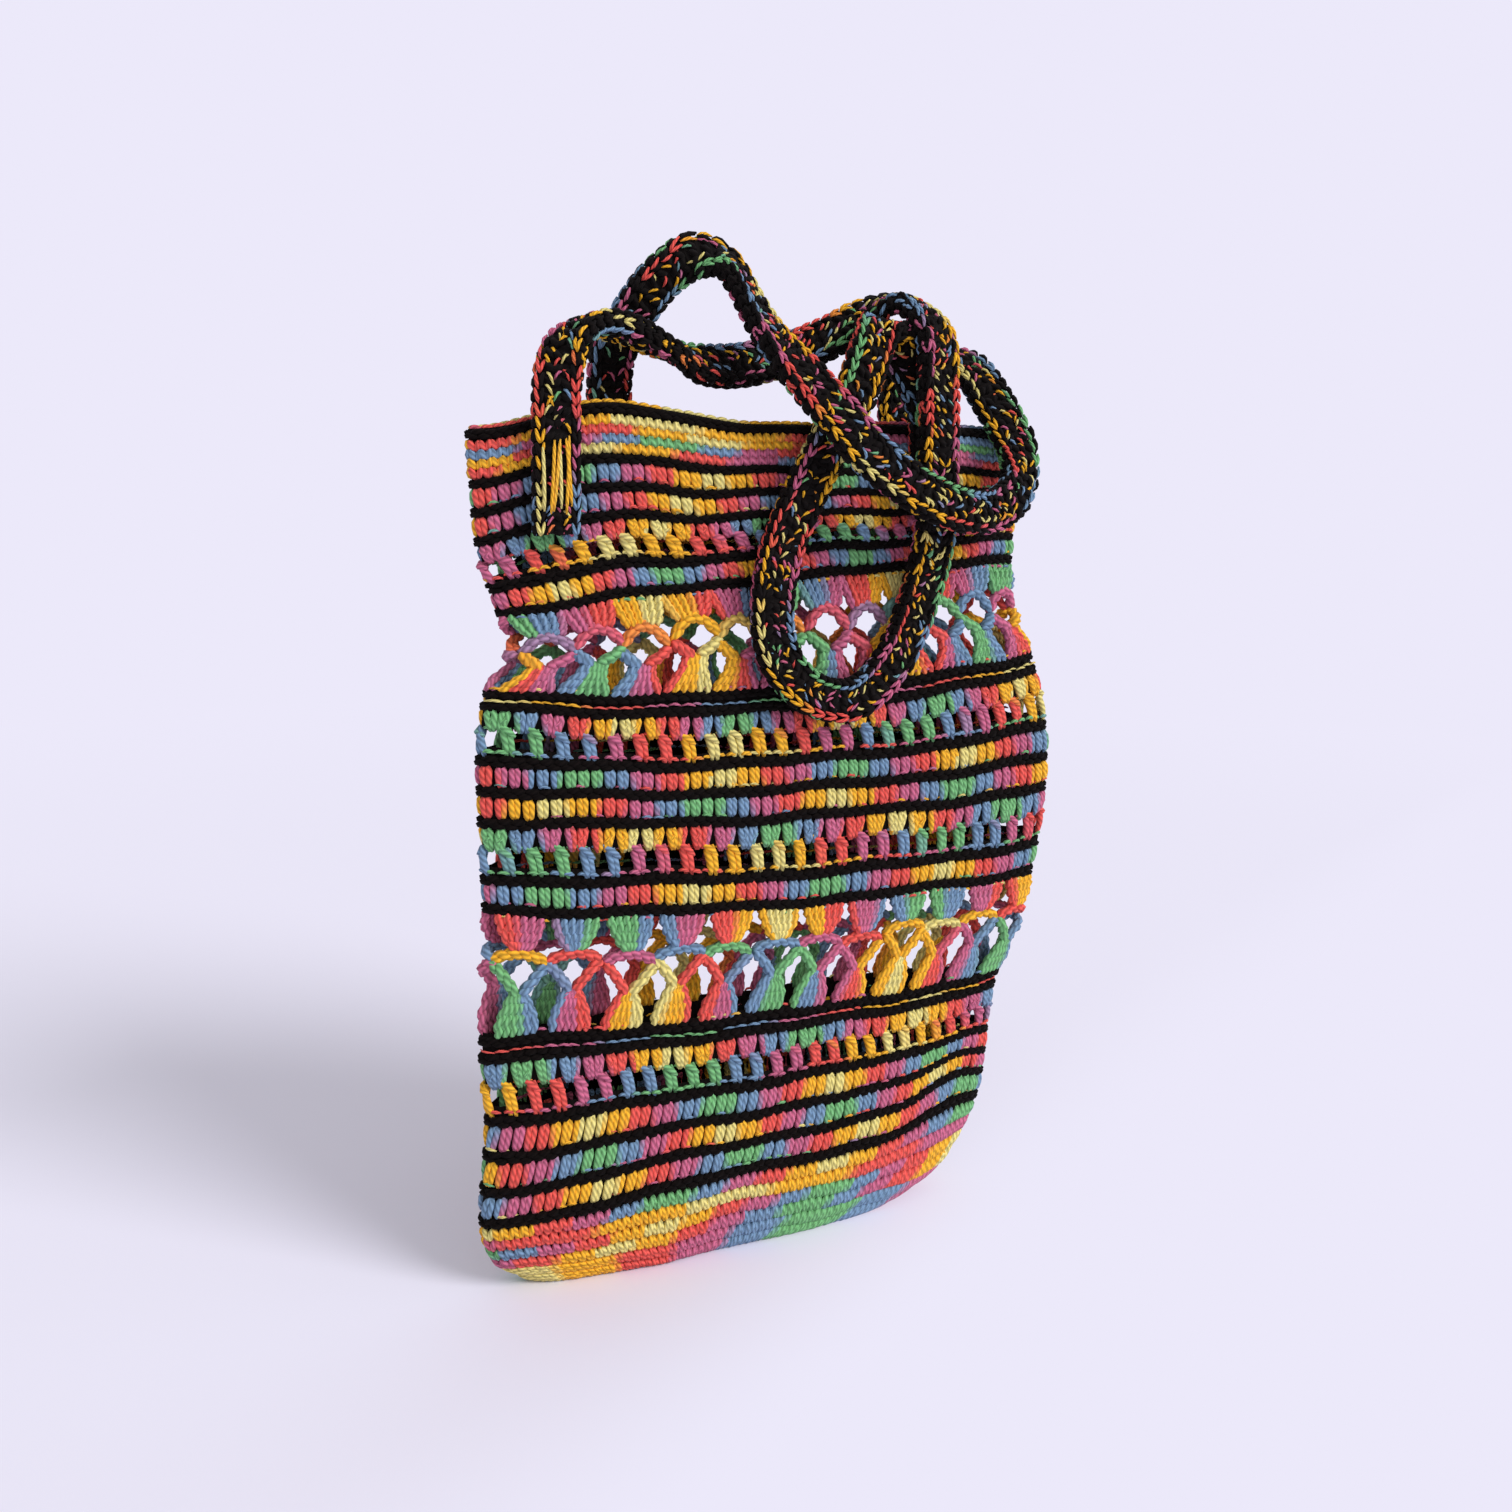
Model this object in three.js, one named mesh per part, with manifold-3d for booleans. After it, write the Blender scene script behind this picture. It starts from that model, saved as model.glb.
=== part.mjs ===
import * as THREE from 'three';
import { mergeVertices } from 'three/addons/utils/BufferGeometryUtils.js';
import Module from 'manifold-3d';

// Crochet tote bag with two long crochet shoulder straps, standing on its oval base.
// Millimetres, +Z up, origin at the centre of the base, front of the bag towards -Y.

const wasm = await Module();
wasm.setup();

// Fabric of the bag
const WALL = 5;
const BASE_THICKNESS = 5;
const CORD_PROUD = 1.2;
const COLUMNS = 40;
const ARC_SAMPLES = 720;
const BASE_CURVE_LEVELS = [0, 3, 8, 15, 24];

// Rounds of the bag from the floor to the rim, as [kind, height].
// A cord is a raised black round, a plain round is coloured stitches, a lace round is openwork.
const ROUNDS = [
  ['plain', 34.1],
  ['cord', 6.2],
  ['plain', 7.4],
  ['cord', 6.2],
  ['plain', 8.4],
  ['cord', 6.2],
  ['plain', 8.8],
  ['cord', 6.2],
  ['plain', 21.4],
  ['cord', 6],
  ['plain', 1.4],
  ['cord', 6],
  ['lace', 49],
  ['cord', 6.2],
  ['plain', 8],
  ['cord', 6.2],
  ['plain', 21.8],
  ['cord', 6.2],
  ['plain', 7.6],
  ['cord', 6.2],
  ['plain', 7.5],
  ['cord', 6.2],
  ['plain', 20.4],
  ['cord', 5.8],
  ['plain', 1.4],
  ['cord', 5.8],
  ['lace', 41],
  ['cord', 5.6],
  ['plain', 5.8],
  ['cord', 5.4],
  ['plain', 13.6],
  ['cord', 5.2],
  ['plain', 5.8],
  ['cord', 5.2],
  ['plain', 5.8],
  ['cord', 5.2],
  ['plain', 15.2],
  ['cord', 5.2],
];

const RIM_Z = ROUNDS.reduce((sum, [, height]) => sum + height, 0);

// Outline of the bag at its heights, as [height, left half width, right half width, half depth]
const OUTLINE = [
  [0, 125, 64, 14],
  [4, 132, 81, 16],
  [14, 144, 103, 19],
  [36, 150, 120, 20],
  [80, 147, 126, 17],
  [112, 149, 131, 15],
  [150, 147, 146, 14],
  [210, 149, 157, 14],
  [245, 148, 156, 14],
  [275, 143, 146, 14],
  [298, 132, 133, 13],
  [320, 138, 130, 12],
  [350, 148, 129, 12],
  [400, 152, 122, 12],
];

// Sag of the rounds at their heights, as [height, rise at the left, in the middle, at the right]
const SAG = [
  [0, 0, 0, 0],
  [37, -1, 5, 0],
  [80, 2, 3, 0.5],
  [112, 4, 1, -1],
  [170, 8, -0.5, -1.5],
  [212, 5.5, -0.7, 0],
  [240, 4, -1, 4.5],
  [270, 1, -2, 8],
  [322, -10, 5, 13],
  [335, -9, 5, 12],
  [351, -7.5, 3, 8],
  [372, -6, 0.5, 4],
  [400, -7, -2, 2],
];
const SAG_SPAN = 130;

// Hump of the rim left of the middle, and the drooping left corner
const HUMP_RISE = 9;
const HUMP_X = -92;
const HUMP_SPREAD = 33;
const CORNER_DROOP = 3.5;
const CORNER_X = -150;
const CORNER_SPREAD = 20;
const RIM_FADE_DEPTH = 90;

// Pucker of the rounds at the lower right corner
const PUCKER_RISE = 13.5;
const PUCKER_X = 105;
const PUCKER_SPREAD = 32;
const PUCKER_Z = 46;
const PUCKER_DEPTH = 30;
const PUCKER_FOOT = 20;

// Openwork of a lace round: one repeat is four stitches wide
const LACE_REPEATS = 24;
const DIAMOND_WIDTH = 11;
const DIAMOND_SHARE = 0.27;
const DIAMOND_CENTRE = 0.52;
const DIAMOND_TOP_SHARE = 0.6;
const DIAMOND_WAIST = 0.2;
const SLOT_WIDTH = 7;
const SLOT_SHARE = 0.34;
const SLOT_CENTRE = 0.24;
const SLOT_SHOULDER_SHARE = 0.9;
const SLOT_SHOULDER = 0.5;
const GAP_CUT_DEPTH = 18;
const GAP_FACING = 0.86;

// Straps: a flat band, thicker along both edges
const STRAP_WIDTH = 20.5;
const STRAP_EDGE_THICKNESS = 8.4;
const STRAP_MIDDLE_THICKNESS = 7;
const STRAP_EDGE_IN = 3;
const STRAP_ROUND = 2;
const STRAP_STEPS = 64;
const STRAP_SEAT_GAP = 0.5;

// Depths of a strap end below the rim: its cut end, the middle of its seam, and its top on the wall
const STRAP_END_DEPTH = 49;
const STRAP_SEAM_DEPTH = 26;
const STRAP_TOP_DEPTH = 8;

// Places of the strap ends across the bag
const FRONT_LEFT_X = -118;
const FRONT_RIGHT_X = 66;
const BACK_LEFT_X = -81;
const BACK_RIGHT_X = 77;

// Free run of the front strap, as [position, direction that its outer face looks to].
// Heights of both runs are measured from the rim.
const FRONT_RUN = [
  [[-118, -16, 12], [-0.35, -0.94, 0]],
  [[-112, -13, 27], [-0.75, -0.5, 0.4]],
  [[-100, -8, 35], [-0.35, 0, 0.95]],
  [[-83, -4, 35], [0.2, 0.1, 0.95]],
  [[-64, 0, 29], [0.2, -0.1, 0.95]],
  [[-45, 4, 24], [0.05, -0.7, 0.7]],
  [[-23, 8, 25], [-0.05, -0.9, 0.45]],
  [[1, 8, 31], [-0.1, -0.9, 0.4]],
  [[22, 2, 40], [-0.15, -0.8, 0.6]],
  [[38, -5, 50], [-0.1, -0.6, 0.8]],
  [[50, -17, 55], [0.3, -0.5, 0.8]],
  [[58, -32, 41], [0.2, -0.95, 0.25]],
  [[60, -34, 16], [0.05, -1, 0]],
  [[61, -34, -16], [0, -1, 0]],
  [[63, -31, -49], [0, -1, 0]],
  [[58, -27, -80], [0, -1, 0]],
  [[45, -26, -109], [0, -1, 0]],
  [[24, -26, -127], [0, -1, 0]],
  [[1, -26, -124], [0, -1, 0]],
  [[-17, -26, -106], [0, -1, 0]],
  [[-21, -26, -82], [0, -1, 0]],
  [[-16, -26, -57], [0, -1, 0]],
  [[-5, -26, -33], [0, -1, 0]],
  [[7, -27, -10], [0, -1, 0]],
  [[18, -29, 11], [0.1, -0.98, 0.1]],
  [[27, -28, 32], [0.15, -0.9, 0.4]],
  [[34, -24, 42], [0.2, -0.35, 0.92]],
  [[44, -20, 39], [0.25, 0.35, 0.9]],
  [[55, -20, 25], [0.15, 0.9, 0.4]],
  [[63, -22, 7], [0.1, 0.98, 0.1]],
];

// Free run of the back strap, as [position, direction that its outer face looks to]
const BACK_RUN = [
  [[-81, 20, 12], [0, -1, 0.1]],
  [[-80, 18, 27], [0, -1, 0.15]],
  [[-74, 15, 40], [0.1, -0.98, 0.2]],
  [[-68, 11, 51], [0.25, -0.93, 0.15]],
  [[-59, 7, 62], [0.35, -0.92, 0]],
  [[-47, 2, 70], [0.3, -0.85, 0.4]],
  [[-34, -1, 68], [0.4, -0.7, 0.6]],
  [[-27, -7, 55], [0.6, -0.75, 0.35]],
  [[-21, -16, 39], [0.45, -0.87, 0.2]],
  [[-12, -31, 20], [0.2, -0.97, 0.1]],
  [[1, -43, 1], [0, -1, 0]],
  [[16, -48, -16], [0, -1, 0]],
  [[40, -50, -31], [0, -1, 0.1]],
  [[66, -47, -39], [0.1, -0.98, 0.1]],
  [[90, -39, -39], [0.2, -0.97, 0.1]],
  [[110, -31, -28], [0.2, -0.97, 0.05]],
  [[116, -22, -9], [-0.1, -0.98, 0.1]],
  [[108, -13, 13], [-0.3, -0.9, 0.3]],
  [[102, 1, 31], [-0.2, -0.7, 0.7]],
  [[94, 17, 38], [0, 0, 1]],
  [[84, 28, 30], [0, 0.8, 0.6]],
  [[77, 27, 13], [0, 1, 0]],
];

// Sewing yarn that crosses each strap end in long stitches
const YARN_RADIUS = 0.9;
const YARN_SIDES = 6;
const YARN_RUNS = 5;
const YARN_MARGIN = 4;
const YARN_REACH = 15;
const YARN_STEPS = 34;
const YARN_GAP = 0.2;
const YARN_TENSION = 0.3;

// Colours
const BODY_COLOR = 0xc0705a;
const STRAP_COLOR = 0x2b2422;
const YARN_COLOR = 0xe2b84a;
const COTTON_ROUGHNESS = 0.95;

// Smooth value of one column of a table at a height
function tableAt(table, column, z) {
  const last = table.length - 1;
  const above = table.findIndex((row) => row[0] > z);
  const i = above < 0 ? last : Math.max(above, 1);
  const low = table[i - 1];
  const high = table[i];
  const span = high[0] - low[0];
  const s = Math.min(Math.max((z - low[0]) / span, 0), 1);
  const before = table[Math.max(i - 2, 0)];
  const after = table[Math.min(i + 1, last)];
  const m0 = ((high[column] - before[column]) / (high[0] - before[0] || 1)) * span;
  const m1 = ((after[column] - low[column]) / (after[0] - low[0] || 1)) * span;
  const d = high[column] - low[column];
  return low[column] + s * (m0 + s * (3 * d - 2 * m0 - m1 + s * (m0 + m1 - 2 * d)));
}

function bell(distance, spread) {
  return Math.exp(-((distance / spread) ** 2));
}

// How far a point of a round is lifted from the round's own height
function lift(x, z) {
  const [left, middle, right] = [1, 2, 3].map((column) => tableAt(SAG, column, z));
  const s = x / SAG_SPAN;
  const sag = middle + (s * (right - left)) / 2 + s * s * ((left + right) / 2 - middle);
  const fade = THREE.MathUtils.smoothstep(z, RIM_Z - RIM_FADE_DEPTH, RIM_Z);
  const hump = HUMP_RISE * bell(x - HUMP_X, HUMP_SPREAD);
  const droop = CORNER_DROOP * bell(x - CORNER_X, CORNER_SPREAD);
  const pucker = PUCKER_RISE * bell(x - PUCKER_X, PUCKER_SPREAD) * bell(z - PUCKER_Z, PUCKER_DEPTH);
  const foot = THREE.MathUtils.smoothstep(z, 0, PUCKER_FOOT);
  return sag + fade * (hump - droop) + foot * pucker;
}

// Point of the wall at an angle round the outline, pushed out along the level normal.
// The angle runs from the left fold over the front to the right fold and back.
function wallPoint(angle, z, out) {
  const c = Math.cos(angle);
  const s = Math.sin(angle);
  const a = tableAt(OUTLINE, c < 0 ? 1 : 2, z);
  const b = tableAt(OUTLINE, 3, z);
  const normal = new THREE.Vector3(c / a, s / b, 0).normalize();
  const x = a * c;
  return new THREE.Vector3(x, b * s, z + lift(x, z)).addScaledVector(normal, out);
}

function wallNormal(angle, z) {
  const c = Math.cos(angle);
  const a = tableAt(OUTLINE, c < 0 ? 1 : 2, z);
  const b = tableAt(OUTLINE, 3, z);
  return new THREE.Vector3(c / a, Math.sin(angle) / b, 0).normalize();
}

// Angle at a share of the way round the outline
function angleAtShare(share, z) {
  const lengths = [0];
  let previous = wallPoint(Math.PI, z, 0);
  for (let i = 1; i <= ARC_SAMPLES; i += 1) {
    const point = wallPoint(Math.PI + (2 * Math.PI * i) / ARC_SAMPLES, z, 0);
    lengths.push(lengths[i - 1] + point.distanceTo(previous));
    previous = point;
  }
  const wanted = share * lengths[ARC_SAMPLES];
  const i = Math.max(lengths.findIndex((length) => length >= wanted), 1);
  const part = (wanted - lengths[i - 1]) / (lengths[i] - lengths[i - 1]);
  return Math.PI + (2 * Math.PI * (i - 1 + part)) / ARC_SAMPLES;
}

function meshGeometry(vertices, triangles) {
  const geometry = new THREE.BufferGeometry();
  geometry.setAttribute('position', new THREE.Float32BufferAttribute(vertices, 3));
  geometry.setIndex(triangles);
  return geometry;
}

function toSolid(geometry) {
  const bare = geometry.clone();
  bare.deleteAttribute('normal');
  bare.deleteAttribute('uv');
  const merged = mergeVertices(bare, 1e-4);
  const vertProperties = new Float32Array(merged.attributes.position.array);
  const triVerts = new Uint32Array(merged.index.array);
  return new wasm.Manifold(new wasm.Mesh({ numProp: 3, vertProperties, triVerts }));
}

function toGeometry(solid) {
  const mesh = solid.getMesh();
  const geometry = meshGeometry(Array.from(mesh.vertProperties), Array.from(mesh.triVerts));
  geometry.computeVertexNormals();
  return geometry;
}

// Levels of the outer wall with their push outwards, and the lace rounds as [low, high]
function outerLevels() {
  const levels = BASE_CURVE_LEVELS.map((z) => [z, WALL / 2]);
  const laces = [];
  let z = 0;
  for (const [kind, height] of ROUNDS) {
    if (kind === 'cord') {
      levels.push([z, WALL / 2]);
      levels.push([z + height / 2, WALL / 2 + CORD_PROUD]);
      levels.push([z + height, WALL / 2]);
    }
    if (kind === 'lace') {
      levels.push([z + height / 2, WALL / 2]);
      laces.push([z, z + height]);
    }
    z += height;
  }
  return { levels, laces };
}

// Shell of the bag: outer wall, rim, inner wall, inner floor and flat base
function bagShell(levels) {
  const heights = OUTLINE.map(([z]) => z).filter((z) => z > BASE_THICKNESS && z < RIM_Z);
  const inner = [RIM_Z, ...heights.reverse(), BASE_THICKNESS];
  const rings = levels.concat(inner.map((z) => [z, -WALL / 2]));
  const vertices = [];
  for (const [z, out] of rings) {
    for (let j = 0; j < COLUMNS; j += 1) {
      vertices.push(...wallPoint(Math.PI + (2 * Math.PI * j) / COLUMNS, z, out).toArray());
    }
  }
  const triangles = [];
  for (let r = 0; r + 1 < rings.length; r += 1) {
    for (let j = 0; j < COLUMNS; j += 1) {
      const k = (j + 1) % COLUMNS;
      const low = r * COLUMNS;
      const high = low + COLUMNS;
      triangles.push(low + j, low + k, high + k, low + j, high + k, high + j);
    }
  }
  const floor = (rings.length - 1) * COLUMNS;
  for (let j = 0; j < COLUMNS / 2; j += 1) {
    const near = [j, j + 1];
    const far = [(COLUMNS - j) % COLUMNS, COLUMNS - j - 1];
    const corners = [near[0], near[1], far[1], far[0]];
    const halves = [corners.slice(0, 3), [corners[0], ...corners.slice(2)]];
    for (const [p, q, s] of halves) {
      if (new Set([p, q, s]).size < 3) continue;
      triangles.push(p, s, q);
      triangles.push(floor + p, floor + q, floor + s);
    }
  }
  return toSolid(meshGeometry(vertices, triangles));
}

// Prism of one gap of the openwork, upright in the wall and square to it
function gapPrism(outline, angle, z) {
  const shape = new THREE.Shape(outline.map(([x, y]) => new THREE.Vector2(x, y)));
  const prism = new THREE.ExtrudeGeometry(shape, { depth: GAP_CUT_DEPTH, bevelEnabled: false });
  prism.translate(0, 0, -GAP_CUT_DEPTH / 2);
  const out = wallNormal(angle, z);
  const up = new THREE.Vector3(0, 0, 1);
  const across = new THREE.Vector3().crossVectors(up, out);
  const place = new THREE.Matrix4().makeBasis(across, up, out);
  place.setPosition(wallPoint(angle, z, 0));
  prism.applyMatrix4(place);
  return toSolid(prism);
}

function diamondOutline(height) {
  const w = DIAMOND_WIDTH / 2;
  const h = (DIAMOND_SHARE * height) / 2;
  const top = w * DIAMOND_TOP_SHARE;
  const waist = -h * DIAMOND_WAIST;
  return [[0, -h], [w, waist], [top, h], [-top, h], [-w, waist]];
}

function slotOutline(height) {
  const w = SLOT_WIDTH / 2;
  const h = (SLOT_SHARE * height) / 2;
  const shoulder = h * SLOT_SHOULDER;
  const inset = w * SLOT_SHOULDER_SHARE;
  return [[-w, -h], [w, -h], [inset, shoulder], [0, h], [-inset, shoulder]];
}

function bagBody() {
  const { levels, laces } = outerLevels();
  let solid = bagShell(levels);
  for (const [low, high] of laces) {
    const height = high - low;
    const middle = (low + high) / 2;
    for (let i = 0; i < LACE_REPEATS; i += 1) {
      const gaps = [
        [i / LACE_REPEATS, DIAMOND_CENTRE, diamondOutline(height)],
        [(i + 0.5) / LACE_REPEATS, SLOT_CENTRE, slotOutline(height)],
      ];
      for (const [share, level, outline] of gaps) {
        const angle = angleAtShare(share, middle);
        if (Math.abs(wallNormal(angle, middle).y) < GAP_FACING) continue;
        solid = solid.subtract(gapPrism(outline, angle, low + level * height));
      }
    }
  }
  return toGeometry(solid);
}

// Centre of a strap lying flat on the outside of the wall, and the way its face looks
function strapSeat(x, z, side) {
  const a = tableAt(OUTLINE, x < 0 ? 1 : 2, z);
  const angle = side * Math.acos(x / a);
  const out = WALL / 2 + CORD_PROUD + STRAP_SEAT_GAP + STRAP_EDGE_THICKNESS / 2;
  return [wallPoint(angle, z, out).toArray(), wallNormal(angle, z).toArray()];
}

function strapEnd(x, side) {
  const depths = [STRAP_END_DEPTH, STRAP_SEAM_DEPTH, STRAP_TOP_DEPTH];
  return depths.map((depth) => strapSeat(x, RIM_Z - depth, side));
}

function fromRim([[x, y, rise], facing]) {
  return [[x, y, RIM_Z + rise], facing];
}

// Same place of a strap with its other face outwards
function turned([position, facing]) {
  return [position, facing.map((value) => -value)];
}

const STRAP_SECTION = [
  [-STRAP_WIDTH / 2, -STRAP_ROUND],
  [-STRAP_WIDTH / 2 + STRAP_EDGE_IN, -STRAP_EDGE_THICKNESS / 2],
  [0, -STRAP_MIDDLE_THICKNESS / 2],
  [STRAP_WIDTH / 2 - STRAP_EDGE_IN, -STRAP_EDGE_THICKNESS / 2],
  [STRAP_WIDTH / 2, -STRAP_ROUND],
  [STRAP_WIDTH / 2, STRAP_ROUND],
  [STRAP_WIDTH / 2 - STRAP_EDGE_IN, STRAP_EDGE_THICKNESS / 2],
  [0, STRAP_MIDDLE_THICKNESS / 2],
  [-STRAP_WIDTH / 2 + STRAP_EDGE_IN, STRAP_EDGE_THICKNESS / 2],
  [-STRAP_WIDTH / 2, STRAP_ROUND],
];

// Flat band along a curve, its face turning smoothly between the given directions
function strapBand(stations) {
  const path = new THREE.CatmullRomCurve3(stations.map(([p]) => new THREE.Vector3(...p)));
  const facings = new THREE.CatmullRomCurve3(stations.map(([, f]) => new THREE.Vector3(...f)));
  const sides = STRAP_SECTION.length;
  const vertices = [];
  for (let i = 0; i <= STRAP_STEPS; i += 1) {
    const t = path.getUtoTmapping(i / STRAP_STEPS);
    const centre = path.getPoint(t);
    const along = path.getTangent(t);
    const across = new THREE.Vector3().crossVectors(along, facings.getPoint(t)).normalize();
    const facing = new THREE.Vector3().crossVectors(across, along).normalize();
    for (const [w, n] of STRAP_SECTION) {
      const point = centre.clone().addScaledVector(across, w).addScaledVector(facing, n);
      vertices.push(...point.toArray());
    }
  }
  const triangles = [];
  for (let i = 0; i < STRAP_STEPS; i += 1) {
    for (let j = 0; j < sides; j += 1) {
      const k = (j + 1) % sides;
      const low = i * sides;
      const high = low + sides;
      triangles.push(low + j, high + k, low + k, low + j, high + j, high + k);
    }
  }
  const end = STRAP_STEPS * sides;
  for (let j = 1; j + 1 < sides; j += 1) {
    triangles.push(0, j, j + 1);
    triangles.push(end, end + j + 1, end + j);
  }
  const geometry = meshGeometry(vertices, triangles);
  geometry.computeVertexNormals();
  return geometry;
}

// Place of the sewing yarn over the outer face of a strap end
function yarnPoint(x, z, side, offset) {
  const [position, facing] = strapSeat(x, z, side);
  const out = new THREE.Vector3(...facing);
  const across = new THREE.Vector3(0, 0, 1).cross(out).normalize();
  const point = new THREE.Vector3(...position);
  point.addScaledVector(out, STRAP_EDGE_THICKNESS / 2 + YARN_GAP + YARN_RADIUS);
  return point.addScaledVector(across, offset);
}

// Zigzag of sewing yarn in long upright stitches over a strap end
function sewingYarn(x, side) {
  const points = [];
  for (let i = 0; i < YARN_RUNS; i += 1) {
    const offset = (i / (YARN_RUNS - 1) - 0.5) * (STRAP_WIDTH - 2 * YARN_MARGIN);
    const way = i % 2 === 0 ? YARN_REACH : -YARN_REACH;
    for (const rise of [-way, 0, way]) {
      points.push(yarnPoint(x, RIM_Z - STRAP_SEAM_DEPTH + rise, side, offset));
    }
  }
  const corners = Array.from({ length: YARN_SIDES }, (_, i) => {
    const turn = (2 * Math.PI * i) / YARN_SIDES;
    return new THREE.Vector2(YARN_RADIUS * Math.cos(turn), YARN_RADIUS * Math.sin(turn));
  });
  const path = new THREE.CatmullRomCurve3(points, false, 'catmullrom', YARN_TENSION);
  return new THREE.ExtrudeGeometry(new THREE.Shape(corners), { steps: YARN_STEPS, extrudePath: path });
}

function piece(name, geometry, color) {
  const material = new THREE.MeshStandardMaterial({ color, roughness: COTTON_ROUGHNESS, metalness: 0 });
  const mesh = new THREE.Mesh(geometry, material);
  mesh.name = name;
  return mesh;
}

const FRONT = -1;
const BACK = 1;

const frontStations = [
  ...strapEnd(FRONT_LEFT_X, FRONT),
  ...FRONT_RUN.map(fromRim),
  ...strapEnd(FRONT_RIGHT_X, FRONT).map(turned).reverse(),
];
const backStations = [
  ...strapEnd(BACK_LEFT_X, BACK).map(turned),
  ...BACK_RUN.map(fromRim),
  ...strapEnd(BACK_RIGHT_X, BACK).reverse(),
];

const tote = new THREE.Group();
tote.add(piece('bag_body', bagBody(), BODY_COLOR));
tote.add(piece('strap_front', strapBand(frontStations), STRAP_COLOR));
tote.add(piece('strap_back', strapBand(backStations), STRAP_COLOR));
tote.add(piece('sewing_yarn_front_left', sewingYarn(FRONT_LEFT_X, FRONT), YARN_COLOR));
tote.add(piece('sewing_yarn_front_right', sewingYarn(FRONT_RIGHT_X, FRONT), YARN_COLOR));
tote.add(piece('sewing_yarn_back_left', sewingYarn(BACK_LEFT_X, BACK), YARN_COLOR));
tote.add(piece('sewing_yarn_back_right', sewingYarn(BACK_RIGHT_X, BACK), YARN_COLOR));

export default tote;
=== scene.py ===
import math

import bpy
import numpy as np
from mathutils import Matrix


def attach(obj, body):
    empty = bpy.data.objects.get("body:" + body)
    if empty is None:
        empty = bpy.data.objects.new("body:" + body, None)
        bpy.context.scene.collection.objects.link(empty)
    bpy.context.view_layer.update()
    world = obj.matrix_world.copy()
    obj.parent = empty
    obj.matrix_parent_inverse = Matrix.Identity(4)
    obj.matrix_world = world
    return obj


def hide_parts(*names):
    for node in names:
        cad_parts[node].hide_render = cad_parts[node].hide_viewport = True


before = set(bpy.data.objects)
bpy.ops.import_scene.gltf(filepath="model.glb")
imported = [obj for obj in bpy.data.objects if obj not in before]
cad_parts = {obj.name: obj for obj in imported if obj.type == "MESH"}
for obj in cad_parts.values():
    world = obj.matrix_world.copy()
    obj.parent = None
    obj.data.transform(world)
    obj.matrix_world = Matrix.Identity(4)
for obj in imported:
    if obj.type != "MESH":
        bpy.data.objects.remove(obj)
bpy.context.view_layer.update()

# Crochet tote bag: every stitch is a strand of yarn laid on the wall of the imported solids.
# Lengths in this file are millimetres in the frame of the solids, and metres in the meshes.

MM = 0.001
STITCHES = 104
LACE_REPEATS = 24
BLACK = -1.0
RNG = np.random.default_rng(11)

# Rounds of the bag from the floor to the rim, as (kind, height, place in the dye cycle at the left
# fold, stitches that one cycle lasts), as far as the kind uses them
ROUNDS = [
    ("single", 5.7, 0.04, 83),
    ("single", 5.7, 0.03, 81),
    ("single", 5.7, 0.77, 49),
    ("single", 5.7, 0.60, 43),
    ("single", 5.7, 0.80, 110),
    ("single", 5.6, 0.07, 41),
    ("black", 6.2),
    ("post", 7.4, 0.65, 25.6),
    ("black", 6.2),
    ("post", 8.4, 0.14, 23.2),
    ("black", 6.2),
    ("post", 8.8, 0.68, 23.4),
    ("black", 6.2),
    ("mesh", 12.9, 0.13, 41.2),
    ("tall", 8.5, 0.41, 25.2),
    ("black", 6.0),
    ("line", 1.4, 0.20),
    ("black", 6.0),
    ("lace", 49.0, 0.30),
    ("black", 6.2),
    ("post", 8.0, 0.35, 23.9),
    ("black", 6.2),
    ("mesh", 13.2, 0.43, 35.8),
    ("tall", 8.6, 0.53, 23.2),
    ("black", 6.2),
    ("post", 7.6, 0.83, 23.9),
    ("black", 6.2),
    ("post", 7.5, 0.23, 23),
    ("black", 6.2),
    ("mesh", 12.4, 0.48, 33.6),
    ("tall", 8.0, 0.50, 19.1),
    ("black", 5.8),
    ("line", 1.4, 0.05),
    ("black", 5.8),
    ("lace", 41.0, 0.60),
    ("black", 5.6),
    ("post", 5.8, 0.76, 18.6),
    ("black", 5.4),
    ("mesh", 8.2, 0.75, 36.8),
    ("tall", 5.4, 0.29, 19.4),
    ("black", 5.2),
    ("post", 5.8, 0.23, 21),
    ("black", 5.2),
    ("post", 5.8, 0.22, 24.2),
    ("black", 5.2),
    ("single", 3.8, 0.86, 62),
    ("single", 3.8, 0.10, 45),
    ("single", 3.8, 0.64, 62),
    ("single", 3.8, 0.86, 100),
    ("black", 5.2),
]
RIM_Z = sum(height for _, height, *_ in ROUNDS)

# Outline of the bag at its heights, as [height, left half width, right half width, half depth]
OUTLINE = [
    [0, 125, 64, 14],
    [4, 132, 81, 16],
    [14, 144, 103, 19],
    [36, 150, 120, 20],
    [80, 147, 126, 17],
    [112, 149, 131, 15],
    [150, 147, 146, 14],
    [210, 149, 157, 14],
    [245, 148, 156, 14],
    [275, 143, 146, 14],
    [298, 132, 133, 13],
    [320, 138, 130, 12],
    [350, 148, 129, 12],
    [400, 152, 122, 12],
]

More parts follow.
